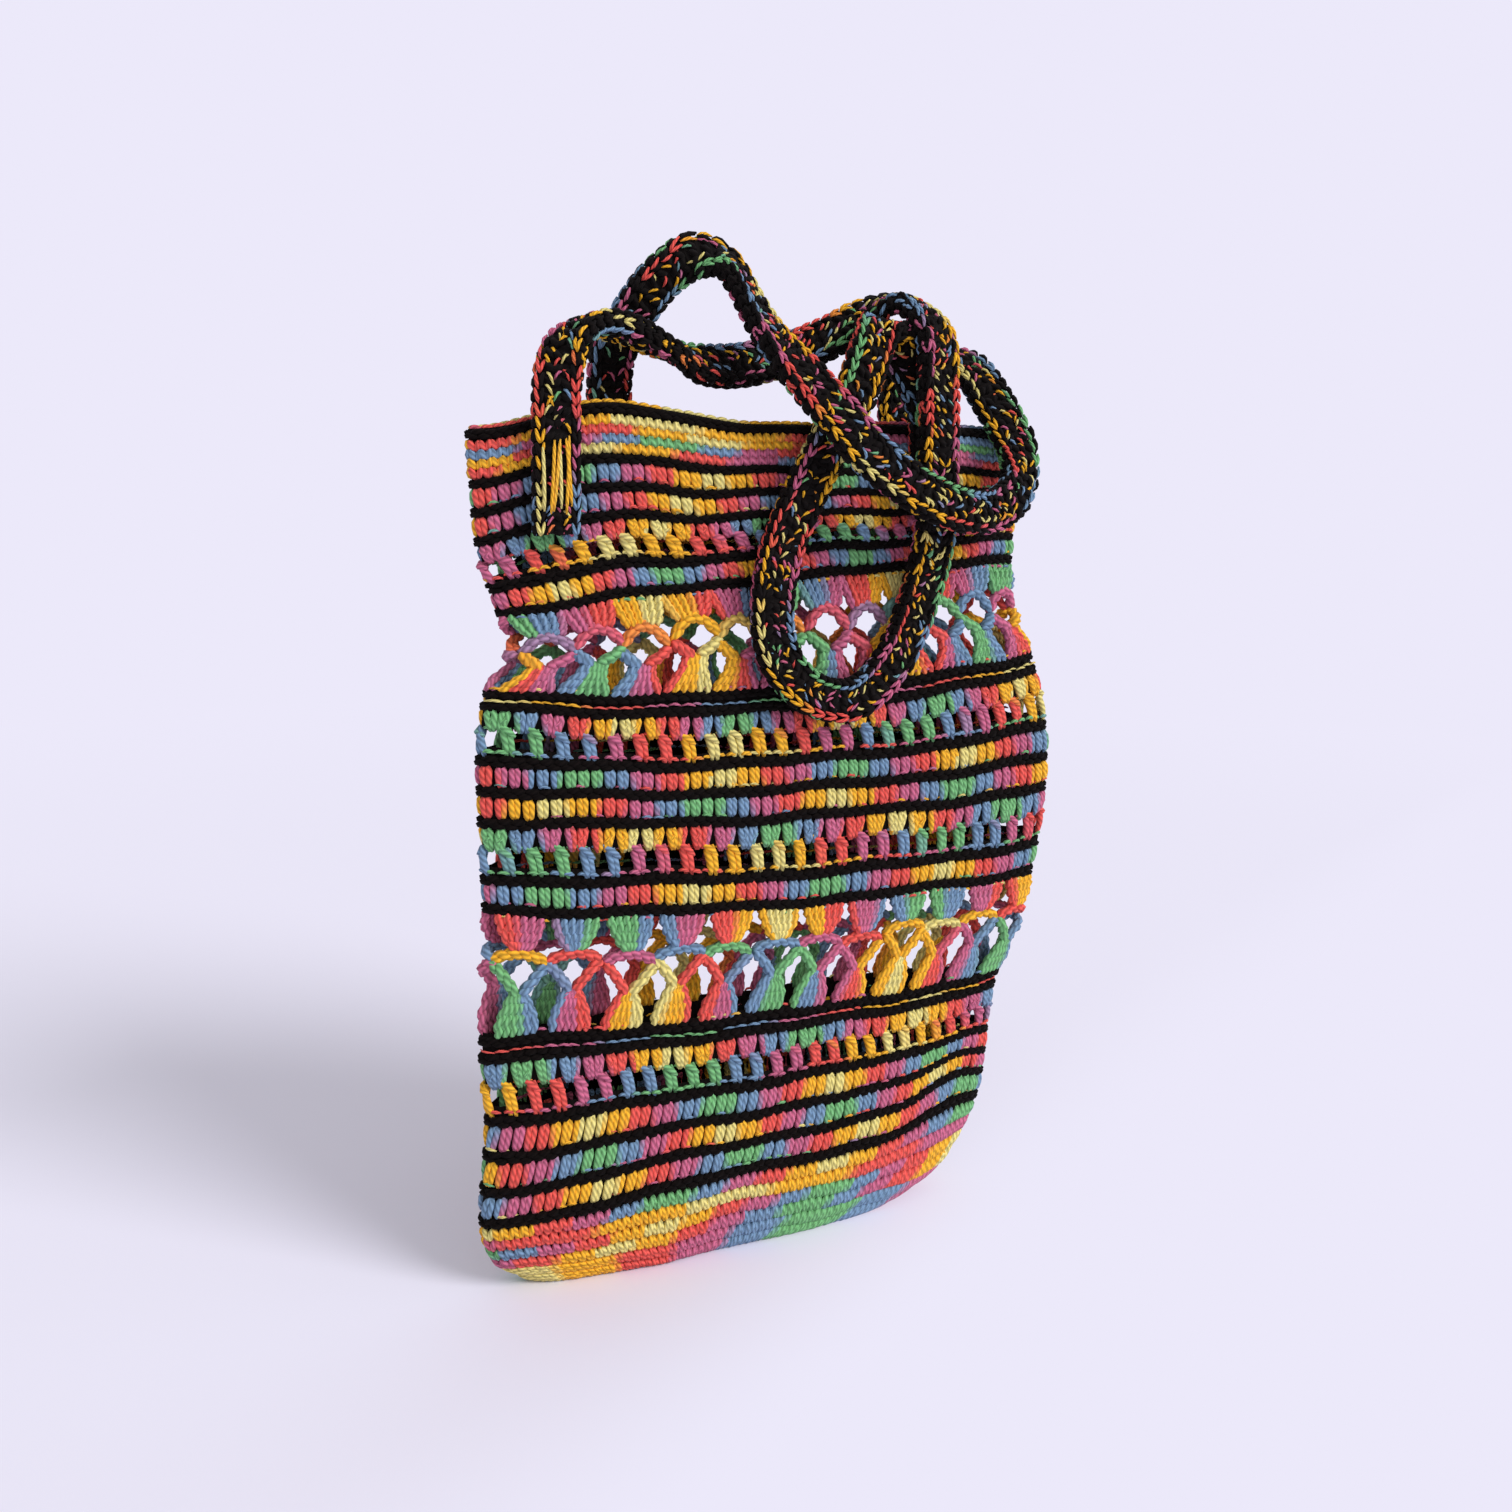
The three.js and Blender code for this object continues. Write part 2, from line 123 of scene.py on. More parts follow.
# Sag of the rounds at their heights, as [height, rise at the left, in the middle, at the right]
SAG = [
    [0, 0, 0, 0],
    [37, -1, 5, 0],
    [80, 2, 3, 0.5],
    [112, 4, 1, -1],
    [170, 8, -0.5, -1.5],
    [212, 5.5, -0.7, 0],
    [240, 4, -1, 4.5],
    [270, 1, -2, 8],
    [322, -10, 5, 13],
    [335, -9, 5, 12],
    [351, -7.5, 3, 8],
    [372, -6, 0.5, 4],
    [400, -7, -2, 2],
]
SAG_SPAN = 130
HUMP_RISE, HUMP_X, HUMP_SPREAD = 9, -92, 33
CORNER_DROOP, CORNER_X, CORNER_SPREAD = 3.5, -150, 20
RIM_FADE_DEPTH = 90
PUCKER_RISE, PUCKER_X, PUCKER_SPREAD = 13.5, 105, 32
PUCKER_Z, PUCKER_DEPTH, PUCKER_FOOT = 46, 30, 20

# Straps: sizes of the flat band and places of its ends, as in the solids
STRAP_WIDTH = 20.5
STRAP_THICKNESS = 8.4
STRAP_SEAT = 4.2 + STRAP_THICKNESS / 2
STRAP_END_DEPTHS = (49, 26, 8)
SEAM_DEPTH = 26
FRONT_LEFT_X, FRONT_RIGHT_X = -118, 66
BACK_LEFT_X, BACK_RIGHT_X = -81, 77
FRONT, BACK = -1, 1

# Free runs of the straps, as (position, direction of the outer face); heights from the rim
FRONT_RUN = [
    (-118, -16, 12, -0.35, -0.94, 0),
    (-112, -13, 27, -0.75, -0.5, 0.4),
    (-100, -8, 35, -0.35, 0, 0.95),
    (-83, -4, 35, 0.2, 0.1, 0.95),
    (-64, 0, 29, 0.2, -0.1, 0.95),
    (-45, 4, 24, 0.05, -0.7, 0.7),
    (-23, 8, 25, -0.05, -0.9, 0.45),
    (1, 8, 31, -0.1, -0.9, 0.4),
    (22, 2, 40, -0.15, -0.8, 0.6),
    (38, -5, 50, -0.1, -0.6, 0.8),
    (50, -17, 55, 0.3, -0.5, 0.8),
    (58, -32, 41, 0.2, -0.95, 0.25),
    (60, -34, 16, 0.05, -1, 0),
    (61, -34, -16, 0, -1, 0),
    (63, -31, -49, 0, -1, 0),
    (58, -27, -80, 0, -1, 0),
    (45, -26, -109, 0, -1, 0),
    (24, -26, -127, 0, -1, 0),
    (1, -26, -124, 0, -1, 0),
    (-17, -26, -106, 0, -1, 0),
    (-21, -26, -82, 0, -1, 0),
    (-16, -26, -57, 0, -1, 0),
    (-5, -26, -33, 0, -1, 0),
    (7, -27, -10, 0, -1, 0),
    (18, -29, 11, 0.1, -0.98, 0.1),
    (27, -28, 32, 0.15, -0.9, 0.4),
    (34, -24, 42, 0.2, -0.35, 0.92),
    (44, -20, 39, 0.25, 0.35, 0.9),
    (55, -20, 25, 0.15, 0.9, 0.4),
    (63, -22, 7, 0.1, 0.98, 0.1),
]
BACK_RUN = [
    (-81, 20, 12, 0, -1, 0.1),
    (-80, 18, 27, 0, -1, 0.15),
    (-74, 15, 40, 0.1, -0.98, 0.2),
    (-68, 11, 51, 0.25, -0.93, 0.15),
    (-59, 7, 62, 0.35, -0.92, 0),
    (-47, 2, 70, 0.3, -0.85, 0.4),
    (-34, -1, 68, 0.4, -0.7, 0.6),
    (-27, -7, 55, 0.6, -0.75, 0.35),
    (-21, -16, 39, 0.45, -0.87, 0.2),
    (-12, -31, 20, 0.2, -0.97, 0.1),
    (1, -43, 1, 0, -1, 0),
    (16, -48, -16, 0, -1, 0),
    (40, -50, -31, 0, -1, 0.1),
    (66, -47, -39, 0.1, -0.98, 0.1),
    (90, -39, -39, 0.2, -0.97, 0.1),
    (110, -31, -28, 0.2, -0.97, 0.05),
    (116, -22, -9, -0.1, -0.98, 0.1),
    (108, -13, 13, -0.3, -0.9, 0.3),
    (102, 1, 31, -0.2, -0.7, 0.7),
    (94, 17, 38, 0, 0, 1),
    (84, 28, 30, 0, 0.8, 0.6),
    (77, 27, 13, 0, 1, 0),
]

# Dyes of the yarn as sRGB colours, and those of the variegated yarn over one cycle
PALE = (214, 199, 122)
GOLD = (228, 168, 42)
CORAL = (217, 83, 75)
ROSE = (187, 96, 127)
BLUE = (110, 139, 169)
GREEN = (110, 170, 112)
BLACK_YARN = (14, 9, 8)
DYE_CYCLE = [PALE, GOLD, CORAL, ROSE, BLUE, GREEN, BLUE, ROSE, CORAL, GOLD]
DYE_SHARE, GREEN_SHARE, DYE_BLEND = 0.095, 0.145, 0.018
BACKDROP = (236, 233, 250)


def linear(rgb):
    """Scene-linear colour of an 8-bit sRGB colour."""
    values = np.asarray(rgb, float) / 255
    return np.where(values <= 0.04045, values / 12.92, ((values + 0.055) / 1.055) ** 2.4)


# The wall of the bag


def table_at(table, column, z):
    """Smooth value of one column of a table at the heights z."""
    rows = np.asarray(table, float)
    heights, values = rows[:, 0], rows[:, column]
    last = len(rows) - 1
    i = np.clip(np.searchsorted(heights, z, side="right"), 1, last)
    before, after = np.maximum(i - 2, 0), np.minimum(i + 1, last)
    span = heights[i] - heights[i - 1]
    s = np.clip((z - heights[i - 1]) / span, 0, 1)
    m0 = (values[i] - values[before]) / (heights[i] - heights[before]) * span
    m1 = (values[after] - values[i - 1]) / (heights[after] - heights[i - 1]) * span
    d = values[i] - values[i - 1]
    return values[i - 1] + s * (m0 + s * (3 * d - 2 * m0 - m1 + s * (m0 + m1 - 2 * d)))


def bell(distance, spread):
    return np.exp(-((distance / spread) ** 2))


def smoothstep(s):
    s = np.clip(s, 0, 1)
    return s * s * (3 - 2 * s)


def lift(x, z):
    """How far a point of a round is lifted from the round's own height."""
    fade = smoothstep((z - RIM_Z + RIM_FADE_DEPTH) / RIM_FADE_DEPTH)
    hump = HUMP_RISE * bell(x - HUMP_X, HUMP_SPREAD)
    droop = CORNER_DROOP * bell(x - CORNER_X, CORNER_SPREAD)
    left, middle, right = (table_at(SAG, column, z) for column in (1, 2, 3))
    s = x / SAG_SPAN
    sag = middle + s * (right - left) / 2 + s * s * ((left + right) / 2 - middle)
    pucker = PUCKER_RISE * bell(x - PUCKER_X, PUCKER_SPREAD) * bell(z - PUCKER_Z, PUCKER_DEPTH)
    return sag + fade * (hump - droop) + smoothstep(z / PUCKER_FOOT) * pucker


def wall(angle, z, out):
    """Points of the wall at angles round the outline, pushed out along the level normal, in mm."""
    c, s = np.cos(angle), np.sin(angle)
    a = np.where(c < 0, table_at(OUTLINE, 1, z), table_at(OUTLINE, 2, z))
    b = table_at(OUTLINE, 3, z)
    nx, ny = c / a, s / b
    size = np.hypot(nx, ny)
    x = a * c
    return np.stack([x + out * nx / size, b * s + out * ny / size, z + lift(x, z)], -1)


LEVELS = np.linspace(0, RIM_Z, 160)
SHARES = np.linspace(0, 1, 481)


def arc_lengths(points):
    """Way along each line of points, up to each of them."""
    steps = np.linalg.norm(np.diff(points, axis=-2), axis=-1)
    start = np.zeros((*steps.shape[:-1], 1))
    return np.concatenate([start, np.cumsum(steps, -1)], -1)


def angle_table():
    """Angle at each share of the way round, from the left fold over the front, at each level."""
    angles = math.pi + np.linspace(0, 2 * math.pi, 1441)
    rows = []
    for z in LEVELS:
        arc = arc_lengths(wall(angles, np.full_like(angles, z), 0.0))
        rows.append(np.interp(SHARES, arc / arc[-1], angles))
    return np.array(rows)


ANGLES = angle_table()


def angle_at(share, z):
    """Angle at shares of the way round and heights, read from the table."""
    share = np.mod(share, 1.0) * (len(SHARES) - 1)
    level = np.clip(z / RIM_Z, 0, 1) * (len(LEVELS) - 1)
    j = np.minimum(share.astype(int), len(SHARES) - 2)
    i = np.minimum(level.astype(int), len(LEVELS) - 2)
    s, t = share - j, level - i
    low = ANGLES[i, j] * (1 - s) + ANGLES[i, j + 1] * s
    high = ANGLES[i + 1, j] * (1 - s) + ANGLES[i + 1, j + 1] * s
    return low * (1 - t) + high * t


# Waves of the slack fabric in and out, and of its rounds up and down, as
# (size in mm, waves in a round, mm of height for each radian, start)
RIPPLE = [(0.8, 3, 37, 0.0), (0.5, 7, -23, 1.3)]
WAVER = [(0.6, 5, 19, 0.0), (0.5, 11, -13, 0.7)]
LOWEST_STRAND = 1.5


def waves(table, share, z):
    turn = 2 * math.pi * share
    return sum(size * np.sin(count * turn + z / climb + at) for size, count, climb, at in table)


def on_wall(share, z, out):
    """Points at shares of the way round the wavy wall, in metres, none of them in the floor."""
    share, z, out = np.broadcast_arrays(share, z, out)
    points = wall(angle_at(share, z), z, out + waves(RIPPLE, share, z))
    points[..., 2] = np.maximum(points[..., 2] + waves(WAVER, share, z), LOWEST_STRAND)
    return points * MM


# Yarn strands


def unit(v):
    return v / np.maximum(np.linalg.norm(v, axis=-1, keepdims=True), 1e-12)


def dot(a, b):
    return np.sum(a * b, axis=-1, keepdims=True)


def spans(points, t):
    """The four points round each place t of a curve, from 0 to 1, and the share into its span."""
    p = np.asarray(points, float)
    p = np.vstack([2 * p[0] - p[1], p, 2 * p[-1] - p[-2]])
    at = t * (len(p) - 3)
    i = np.minimum(at.astype(int), len(p) - 4)
    return p[i], p[i + 1], p[i + 2], p[i + 3], (at - i)[:, None]


def smooth(points, count):
    """Smooth line of count points through the points."""
    p0, p1, p2, p3, s = spans(points, np.linspace(0, 1, count))
    bend = 2 * p0 - 5 * p1 + 4 * p2 - p3
    return 0.5 * (2 * p1 + s * (p2 - p0 + s * (bend + s * (3 * p1 - p0 - 3 * p2 + p3))))


def tube_rings(paths, radius, sides):
    """Rings of N tubes along N paths of P points: (N, P, sides, 3)."""
    tangent = unit(np.gradient(paths, axis=1))
    upright = np.abs(tangent[:, 0, 2:]) > 0.8
    start = np.where(upright, [0.0, 1.0, 0.0], [0.0, 0.0, 1.0])
    normal = unit(start - dot(start, tangent[:, 0]) * tangent[:, 0])
    normals = [normal]
    for k in range(paths.shape[1] - 1):
        v1 = paths[:, k + 1] - paths[:, k]
        c1 = np.maximum(dot(v1, v1), 1e-18)
        turned = normal - 2 / c1 * dot(v1, normal) * v1
        ahead = tangent[:, k] - 2 / c1 * dot(v1, tangent[:, k]) * v1
        v2 = tangent[:, k + 1] - ahead
        normal = turned - 2 / np.maximum(dot(v2, v2), 1e-18) * dot(v2, turned) * v2
        normals.append(normal)
    normals = np.stack(normals, 1)
    binormals = np.cross(tangent, normals)
    turn = 2 * math.pi * np.arange(sides)[:, None] / sides
    ring = np.cos(turn) * normals[:, :, None] + np.sin(turn) * binormals[:, :, None]
    return paths[:, :, None] + radius[:, :, None, None] * ring


def tube_corners(points, sides):
    """Point and side of each face corner of a closed tube: first its quads, then its two caps."""
    around = np.arange(sides)
    k, j = np.meshgrid(np.arange(points - 1), around, indexing="ij")
    point = np.stack([k, k, k + 1, k + 1], -1).reshape(-1)
    side = np.stack([j, j + 1, j + 1, j], -1).reshape(-1)
    point = np.concatenate([point, np.zeros(sides, int), np.full(sides, points - 1)])
    return point, np.concatenate([side, around[::-1], around])


def tube_tile(point, side, points, sides):
    """Places of a tube's corners in its tile of the bake map: a sheet of its side, and its caps."""
    u = 0.06 + 0.70 * point / (points - 1)
    v = 0.06 + 0.88 * side / sides
    caps = slice(-2 * sides, None)
    turn = 2 * math.pi * side[caps] / sides
    u[caps] = 0.88 + 0.08 * np.cos(turn)
    v[caps] = np.repeat([0.25, 0.75], sides) + 0.08 * np.sin(turn)
    return u, v


class Yarn:
    """Gathers strands of yarn as closed tubes, and makes one piece of them."""

    END_TAPER = 0.55

    def __init__(self):
        self.batches = []

    def add(self, paths, radius, dye, sides=5):
        """Paths (N, P, 3) in metres, radius in mm, and one dye, or one for each strand or point."""
        count, points = paths.shape[:2]
        dye = np.asarray(dye, float)
        dye = np.broadcast_to(dye[:, None] if dye.ndim == 1 else dye, (count, points))
        profile = np.ones(points)
        profile[[0, -1]] = self.END_TAPER
        radii = np.broadcast_to(np.asarray(radius, float) * MM * profile, (count, points))
        self.batches.append((tube_rings(paths, radii, sides), dye, arc_lengths(paths)))

    def piece(self, name, material):
        vertices, dyes, loops, starts, yarn_uv, bake_uv = [], [], [], [], [], []
        tiles = math.ceil(math.sqrt(sum(len(rings) for rings, _, _ in self.batches)))
        first_vertex = first_loop = first_strand = 0
        for rings, dye, along in self.batches:
            n, p, s, _ = rings.shape
            strand = np.arange(n)[:, None]
            point, side = tube_corners(p, s)
            vertices.append(rings.reshape(-1, 3))
            dyes.append(np.repeat(dye.reshape(-1), s))
            loops.append((first_vertex + strand * p * s + point * s + side % s).reshape(-1))
            sizes = np.concatenate([np.full((p - 1) * s, 4), [s, s]])
            faces = np.concatenate([[0], np.cumsum(sizes)[:-1]])
            starts.append((first_loop + strand * len(point) + faces).reshape(-1))
            u = along[:, point]
            yarn_uv.append(np.stack([u, np.broadcast_to(side / s, u.shape)], -1).reshape(-1, 2))
            u, v = tube_tile(point, side, p, s)
            tile = first_strand + strand
            place = np.stack([tile % tiles + u, tile // tiles + v], -1)
            bake_uv.append((place / tiles).reshape(-1, 2))
            first_vertex += n * p * s
            first_loop += n * len(point)
            first_strand += n
        mesh = (np.concatenate(part) for part in (vertices, loops, starts, dyes))
        maps = {"Yarn": np.concatenate(yarn_uv), "OFBake": np.concatenate(bake_uv)}
        return mesh_piece(name, material, *mesh, maps)


def new_object(name, data):
    made = bpy.data.objects.new(name, data)
    bpy.context.scene.collection.objects.link(made)
    return made


def mesh_piece(name, material, vertices, loops, starts, dye, maps):
    """Piece with smooth faces, one dye or one for each vertex, and maps for its corners."""
    mesh = bpy.data.meshes.new(name)
    mesh.vertices.add(len(vertices))
    mesh.vertices.foreach_set("co", vertices.astype(np.float32).ravel())
    mesh.loops.add(len(loops))
    mesh.loops.foreach_set("vertex_index", loops.astype(np.int32))
    mesh.polygons.add(len(starts))
    mesh.polygons.foreach_set("loop_start", starts.astype(np.int32))
    mesh.update(calc_edges=True)
    mesh.polygons.foreach_set("use_smooth", np.ones(len(starts), bool))
    dyes = mesh.attributes.new("dye", "FLOAT", "POINT")
    dyes.data.foreach_set("value", np.broadcast_to(dye, len(vertices)).astype(np.float32))
    for map_name, uv in maps.items():
        layer = mesh.uv_layers.new(name=map_name)
        layer.data.foreach_set("uv", uv.astype(np.float32).ravel())
    mesh.uv_layers["Yarn"].active_render = True
    mesh.materials.append(material)
    return new_object(name, mesh)


def in_round(index, line, z, height, slack=0.032):
    """Paths of one strand in each stitch of a round.
    Points of the line are (shares of a stitch across, shares of the height up, mm out)."""
    across, up, out = np.asarray(line, float).T
    each = (len(index), 1)
    shift = RNG.normal(0, slack, each)
    rise = RNG.normal(0, slack, each)
    push = RNG.normal(0, 5 * slack, each)
    share = (index[:, None] + 0.5 + across + shift) / STITCHES
    return on_wall(share, z + height * (up + rise), out + push)


def along_dye(index, phase, step, points):
    """Dye of each point of the strands, as the yarn runs on from stitch to stitch."""
    run = np.linspace(0, 1, points)
    return phase + step * (index[:, None] + run)


# Rounds of stitches

ALL = np.arange(STITCHES)
BLACK_RADIUS_SHARE = 0.245
POST_RADIUS = 1.55
LOW_ROUNDS_Z, LOW_LEAN, HIGH_LEAN = 110, 0.26, -0.06
POST_LEG = [(0.12, 1.06, 0.5), (0.22, 0.82, 1.4), (0.19, 0.48, 1.6),
            (0.15, 0.12, 1.2), (0.10, -0.14, 0.2)]
POST = [(-across, up, out) for across, up, out in POST_LEG[::-1]] + POST_LEG
TALL_RADIUS, TALL_WRAP_RADIUS, TALL_PULL = 1.52, 0.8, 0.20
TALL_WRAP = [(-0.36, 0.40, 1.4), (-0.12, 0.48, 2.5), (0.12, 0.60, 2.5), (0.36, 0.68, 1.4)]
MESH_LEG_RADIUS, MESH_HEAD_RADIUS, MESH_BRIDGE_RADIUS = 1.78, 1.4, 1.1
MESH_LEGS = [
    [(-0.56, 1.02, 0.3), (-0.42, 0.70, 1.1), (-0.22, 0.36, 1.2), (-0.16, -0.12, 0.3)],
    [(-0.06, 1.02, 0.5), (0.04, 0.70, 1.2), (0.20, 0.36, 1.2), (0.34, -0.12, 0.3)],
]
MESH_HEAD = [(-0.92, 1.08, 0.4), (-0.56, 1.00, 1.7), (-0.10, 0.84, 2.5), (0.34, 0.66, 1.6)]
MESH_BRIDGE = [(0.2, 1.00, 0.2), (0.7, 1.06, 0.8), (1.3, 1.06, 0.8), (1.8, 1.00, 0.2)]
LOOP_DYE, LOOP_HEIGHT, LOOP_SLACK, INNER_LOOP_RADIUS = 1 / 49, 1.2, 0.12, 0.7
INNER_LOOP = [(-0.52, 0.0, -0.1), (-0.2, 0.5, -0.7), (0.2, 0.2, -0.7), (0.52, 0.0, -0.1)]
SINGLES, SINGLE_RADIUS, SINGLE_SLACK = 128, 1.5, 0.03
SINGLE_LEG = [(0.46, 1.04, 0.3), (0.40, 0.82, 1.1), (0.28, 0.48, 1.4),
              (0.16, 0.14, 1.1), (0.08, -0.12, 0.2)]


def black_round(yarn, z, height):
    """Raised black round: two lines of slanted strands, like a chain lying on its side."""
    for side in (-1, 1):
        level = 0.5 + 0.16 * side
        slant = 0.06 * side
        line = [
            (-0.64, level - slant, 0.3),
            (-0.20, level - slant * 0.3, 1.75),
            (0.24, level + slant * 0.3, 1.75),
            (0.68, level + slant, 0.3),
        ]
        paths = in_round(ALL + 0.25 * side, line, z, height)
        yarn.add(paths, BLACK_RADIUS_SHARE * height, BLACK)


def post_round(yarn, z, height, phase, cycle):
    """Round of post stitches, each a fat loop with two legs; the low rounds lean to the right."""
    line = np.array(POST)
    lean = LOW_LEAN if z < LOW_ROUNDS_Z else HIGH_LEAN
    line[:, 0] += lean * (line[:, 1] - 0.5)
    dye = along_dye(ALL, phase, 1 / cycle, len(POST))
    yarn.add(in_round(ALL, line, z, height), POST_RADIUS, dye, sides=6)


def tall_round(yarn, z, height, phase, cycle):
    """Round of taller stitches, drawn together in pairs over the windows of the mesh below."""
    for odd, pull in ((0, TALL_PULL), (1, -TALL_PULL)):
        pair = ALL[odd::2]
        for points, radius in ((POST, TALL_RADIUS), (TALL_WRAP, TALL_WRAP_RADIUS)):
            across, up, out = np.array(points).T
            across = across * (0.80 + 0.26 * up) + pull * (1 - up)
            line = np.stack([across, up - 0.06 * (1 - up) ** 2, out], -1)
            dye = along_dye(pair, phase, 1 / cycle, len(points))
            yarn.add(in_round(pair, line, z, height), radius, dye)


def mesh_round(yarn, z, height, phase, cycle):
    """Mesh round: a post between each two pairs of tall stitches, with a window beside it."""
    posts = ALL[::2] - 0.5
    dye = phase + posts / cycle
    for leg in MESH_LEGS:
        yarn.add(in_round(posts, smooth(leg, 6), z, height), MESH_LEG_RADIUS, dye)
    head = in_round(posts, smooth(MESH_HEAD, 5), z, height)
    yarn.add(head, MESH_HEAD_RADIUS, dye + 0.3 / cycle, sides=6)
    yarn.add(in_round(posts, MESH_BRIDGE, z, height), MESH_BRIDGE_RADIUS, dye + 1 / cycle)


def loop_line(yarn, z, phase, share=0.6, radius=0.6, reach=0.42):
    """Loops between a black round and the stitches over it, all along or here and there."""
    line = [(-reach, 0.0, 1.1), (-0.15, 0.6, 2.0), (0.15, 0.4, 2.1), (reach, -0.2, 1.1)]
    some = ALL[RNG.random(STITCHES) < share]
    paths = in_round(some, line, z, LOOP_HEIGHT, LOOP_SLACK)
    radii = radius * RNG.uniform(0.8, 1.25, (len(some), 1))
    yarn.add(paths, radii, phase + LOOP_DYE * some)


def inner_loops(yarn, z, height, phase):
    """Loops on the inside of the back wall, which show through the mesh windows of the front."""
    back = ALL[STITCHES // 2 + 2:-3]
    for level, turn in ((0.06, 0.2), (0.52, 0.7)):
        paths = in_round(back, INNER_LOOP, z + level * height, LOOP_HEIGHT, LOOP_SLACK)
        yarn.add(paths, INNER_LOOP_RADIUS, phase + turn + LOOP_DYE * back)


def single_round(yarn, z, height, phase, cycle):
    """Round of single stitches, each a small fat V."""
    index = np.arange(SINGLES)
    stitch = STITCHES / SINGLES
    dye = along_dye(index, phase, 1 / cycle, len(SINGLE_LEG))
    for side in (-1, 1):
        leg = np.array(SINGLE_LEG) * [stitch * side, 1, 1]
        yarn.add(in_round(index * stitch, leg, z, height, SINGLE_SLACK), SINGLE_RADIUS, dye)


# Lace

LACE_PITCH, LACE_START = 26.0, 0.60
CLUSTER_LEGS, LEG_RADIUS, ROPE_SPREAD = 6, 1.6, 0.62

# Dyes of the lace, as (place in the cycle at the left fold, share of the cycle in each repeat), and
# its lines, as (shares of a repeat across, shares of the height up, mm out); those of shells and
# clusters are of their outer legs
LOWER_DYES = {"shell": (0.22, 4 / 26.8), "cluster": (0.51, 4 / 22.3), "chain": (0.09, 0.10)}
UPPER_DYES = {"shell": (0.56, 4 / 22.9), "cluster": (0.16, 4 / 17.2), "chain": (0.667, 0.095)}
LOWER_LINES = {
    "shell": [(0.38, 1.03, 0.2), (0.34, 0.93, 1.6), (0.25, 0.82, 2.0), (0.09, 0.70, 1.4)],
    "cluster": [(0.32, -0.05, 0.2), (0.31, 0.10, 1.8), (0.20, 0.23, 2.2), (0.07, 0.37, 1.6)],
    "arm": [(0.02, 0.32, 1.4), (0.19, 0.43, 2.4), (0.36, 0.53, 2.2), (0.52, 0.60, 0.8)],
    "chain": [(-0.52, 0.60, 0.6), (-0.26, 0.66, 1.4), (0.0, 0.685, 1.8),
              (0.26, 0.66, 1.4), (0.52, 0.60, 0.6)],
}
UPPER_LINES = {
    "shell": [(0.47, 1.03, 0.2), (0.43, 0.93, 1.6), (0.37, 0.83, 2.0), (0.29, 0.73, 1.4)],
    "cluster": [(0.44, -0.05, 0.2), (0.34, 0.08, 1.8), (0.22, 0.20, 2.2), (0.20, 0.34, 1.6)],
    "arm": [(0.06, 0.33, 1.4), (0.22, 0.37, 2.4), (0.38, 0.43, 2.2), (0.52, 0.49, 0.8)],
    "chain": [(-0.52, 0.50, 0.6), (-0.26, 0.67, 1.4), (0.0, 0.735, 1.8),
              (0.26, 0.67, 1.4), (0.52, 0.50, 0.6)],
}
# Dyes, lines and rope thickness of the lower and the upper lace round
LACE_ROUNDS = [(LOWER_DYES, LOWER_LINES, 1.9), (UPPER_DYES, UPPER_LINES, 2.0)]


def lace_rope(yarn, points, turns, z, height, radius, dye):
    """Two strands twisted round a line of the lace at each repeat, a little askew."""
    centre = np.arange(LACE_REPEATS)[:, None] + LACE_START
    count = 4 * turns + 4
    line = smooth(points, count) * [LACE_PITCH, height, 1.0]
    ahead = unit(np.gradient(line[:, :2], axis=0))
    beside = np.stack([-ahead[:, 1], ahead[:, 0]], -1)
    slack = np.sin(math.pi * np.clip(line[:, 1] / height, 0, 1))
    shift = 1.3 * np.sin(centre * 2.1 + 0.3 * height) * slack
    rise = np.sin(centre * 3.7 + 1.0) * slack
    for start in (0.0, math.pi):
        turn = start + 2 * math.pi * turns * np.linspace(0, 1, count)
        off = ROPE_SPREAD * radius * np.cos(turn)
        across = line[:, 0] + off * beside[:, 0] + shift
        up = line[:, 1] + off * beside[:, 1] + rise
        out = line[:, 2] + ROPE_SPREAD * radius * np.sin(turn)
        share = (centre + across / LACE_PITCH) / LACE_REPEATS
        yarn.add(on_wall(share, z + up, out), radius, dye)


def lace_round(yarn, z, height, dyes, lines, rope):
    """Openwork band: shells hang from the top, clusters stand below, chains join their points."""

    def dye(part, at=0.5):
        place, share = dyes[part]
        return place + share * (np.arange(LACE_REPEATS) + at)

    def spread_line(part, spread):
        return [(across * spread, up, out) for across, up, out in lines[part]]

    for k in range(CLUSTER_LEGS):
        at = (k + 0.5) / CLUSTER_LEGS
        spread = 2 * k / (CLUSTER_LEGS - 1) - 1
        for part in ("shell", "cluster"):
            lace_rope(yarn, spread_line(part, spread), 2, z, height, LEG_RADIUS, dye(part, at))
    lace_rope(yarn, lines["chain"], 3, z, height, rope, dye("chain"))
    for side in (-1, 1):
        arm_dye = dye("cluster", 0.5 + 0.4 * side)
        lace_rope(yarn, spread_line("arm", side), 2, z, height, rope, arm_dye)


# Pieces of the bag

# Black backing of painted shade: its heel in the mesh windows in front and at the back, and its
# depth in the wall in mm
MESH_HEEL, MESH_BACK = 0.25, 0.97
SHADE_BACKING_INNER, SHADE_BACKING_OUTER = 0.3, 0.8
BASE_ROUNDS, BASE_PITCH, BASE_INSET, BASE_MIDDLE = 3, 5.0, 2, 0.5
BASE_STITCH, BASE_Z, BASE_RADIUS = 6.5, 1.7, 1.45
BASE_LEG = [(0.48, 0.1, 0.6), (0.30, 0.5, 0.0), (0.04, 1.15, 0.6)]
RIM_RISE, RIM_HEIGHT, RIM_RADIUS, RIM_DYE = 0.2, 2.0, 0.95, 0.81
# Share of the dye cycle in one stitch of the base and of the rim chain
SINGLE_DYE = 1 / 80


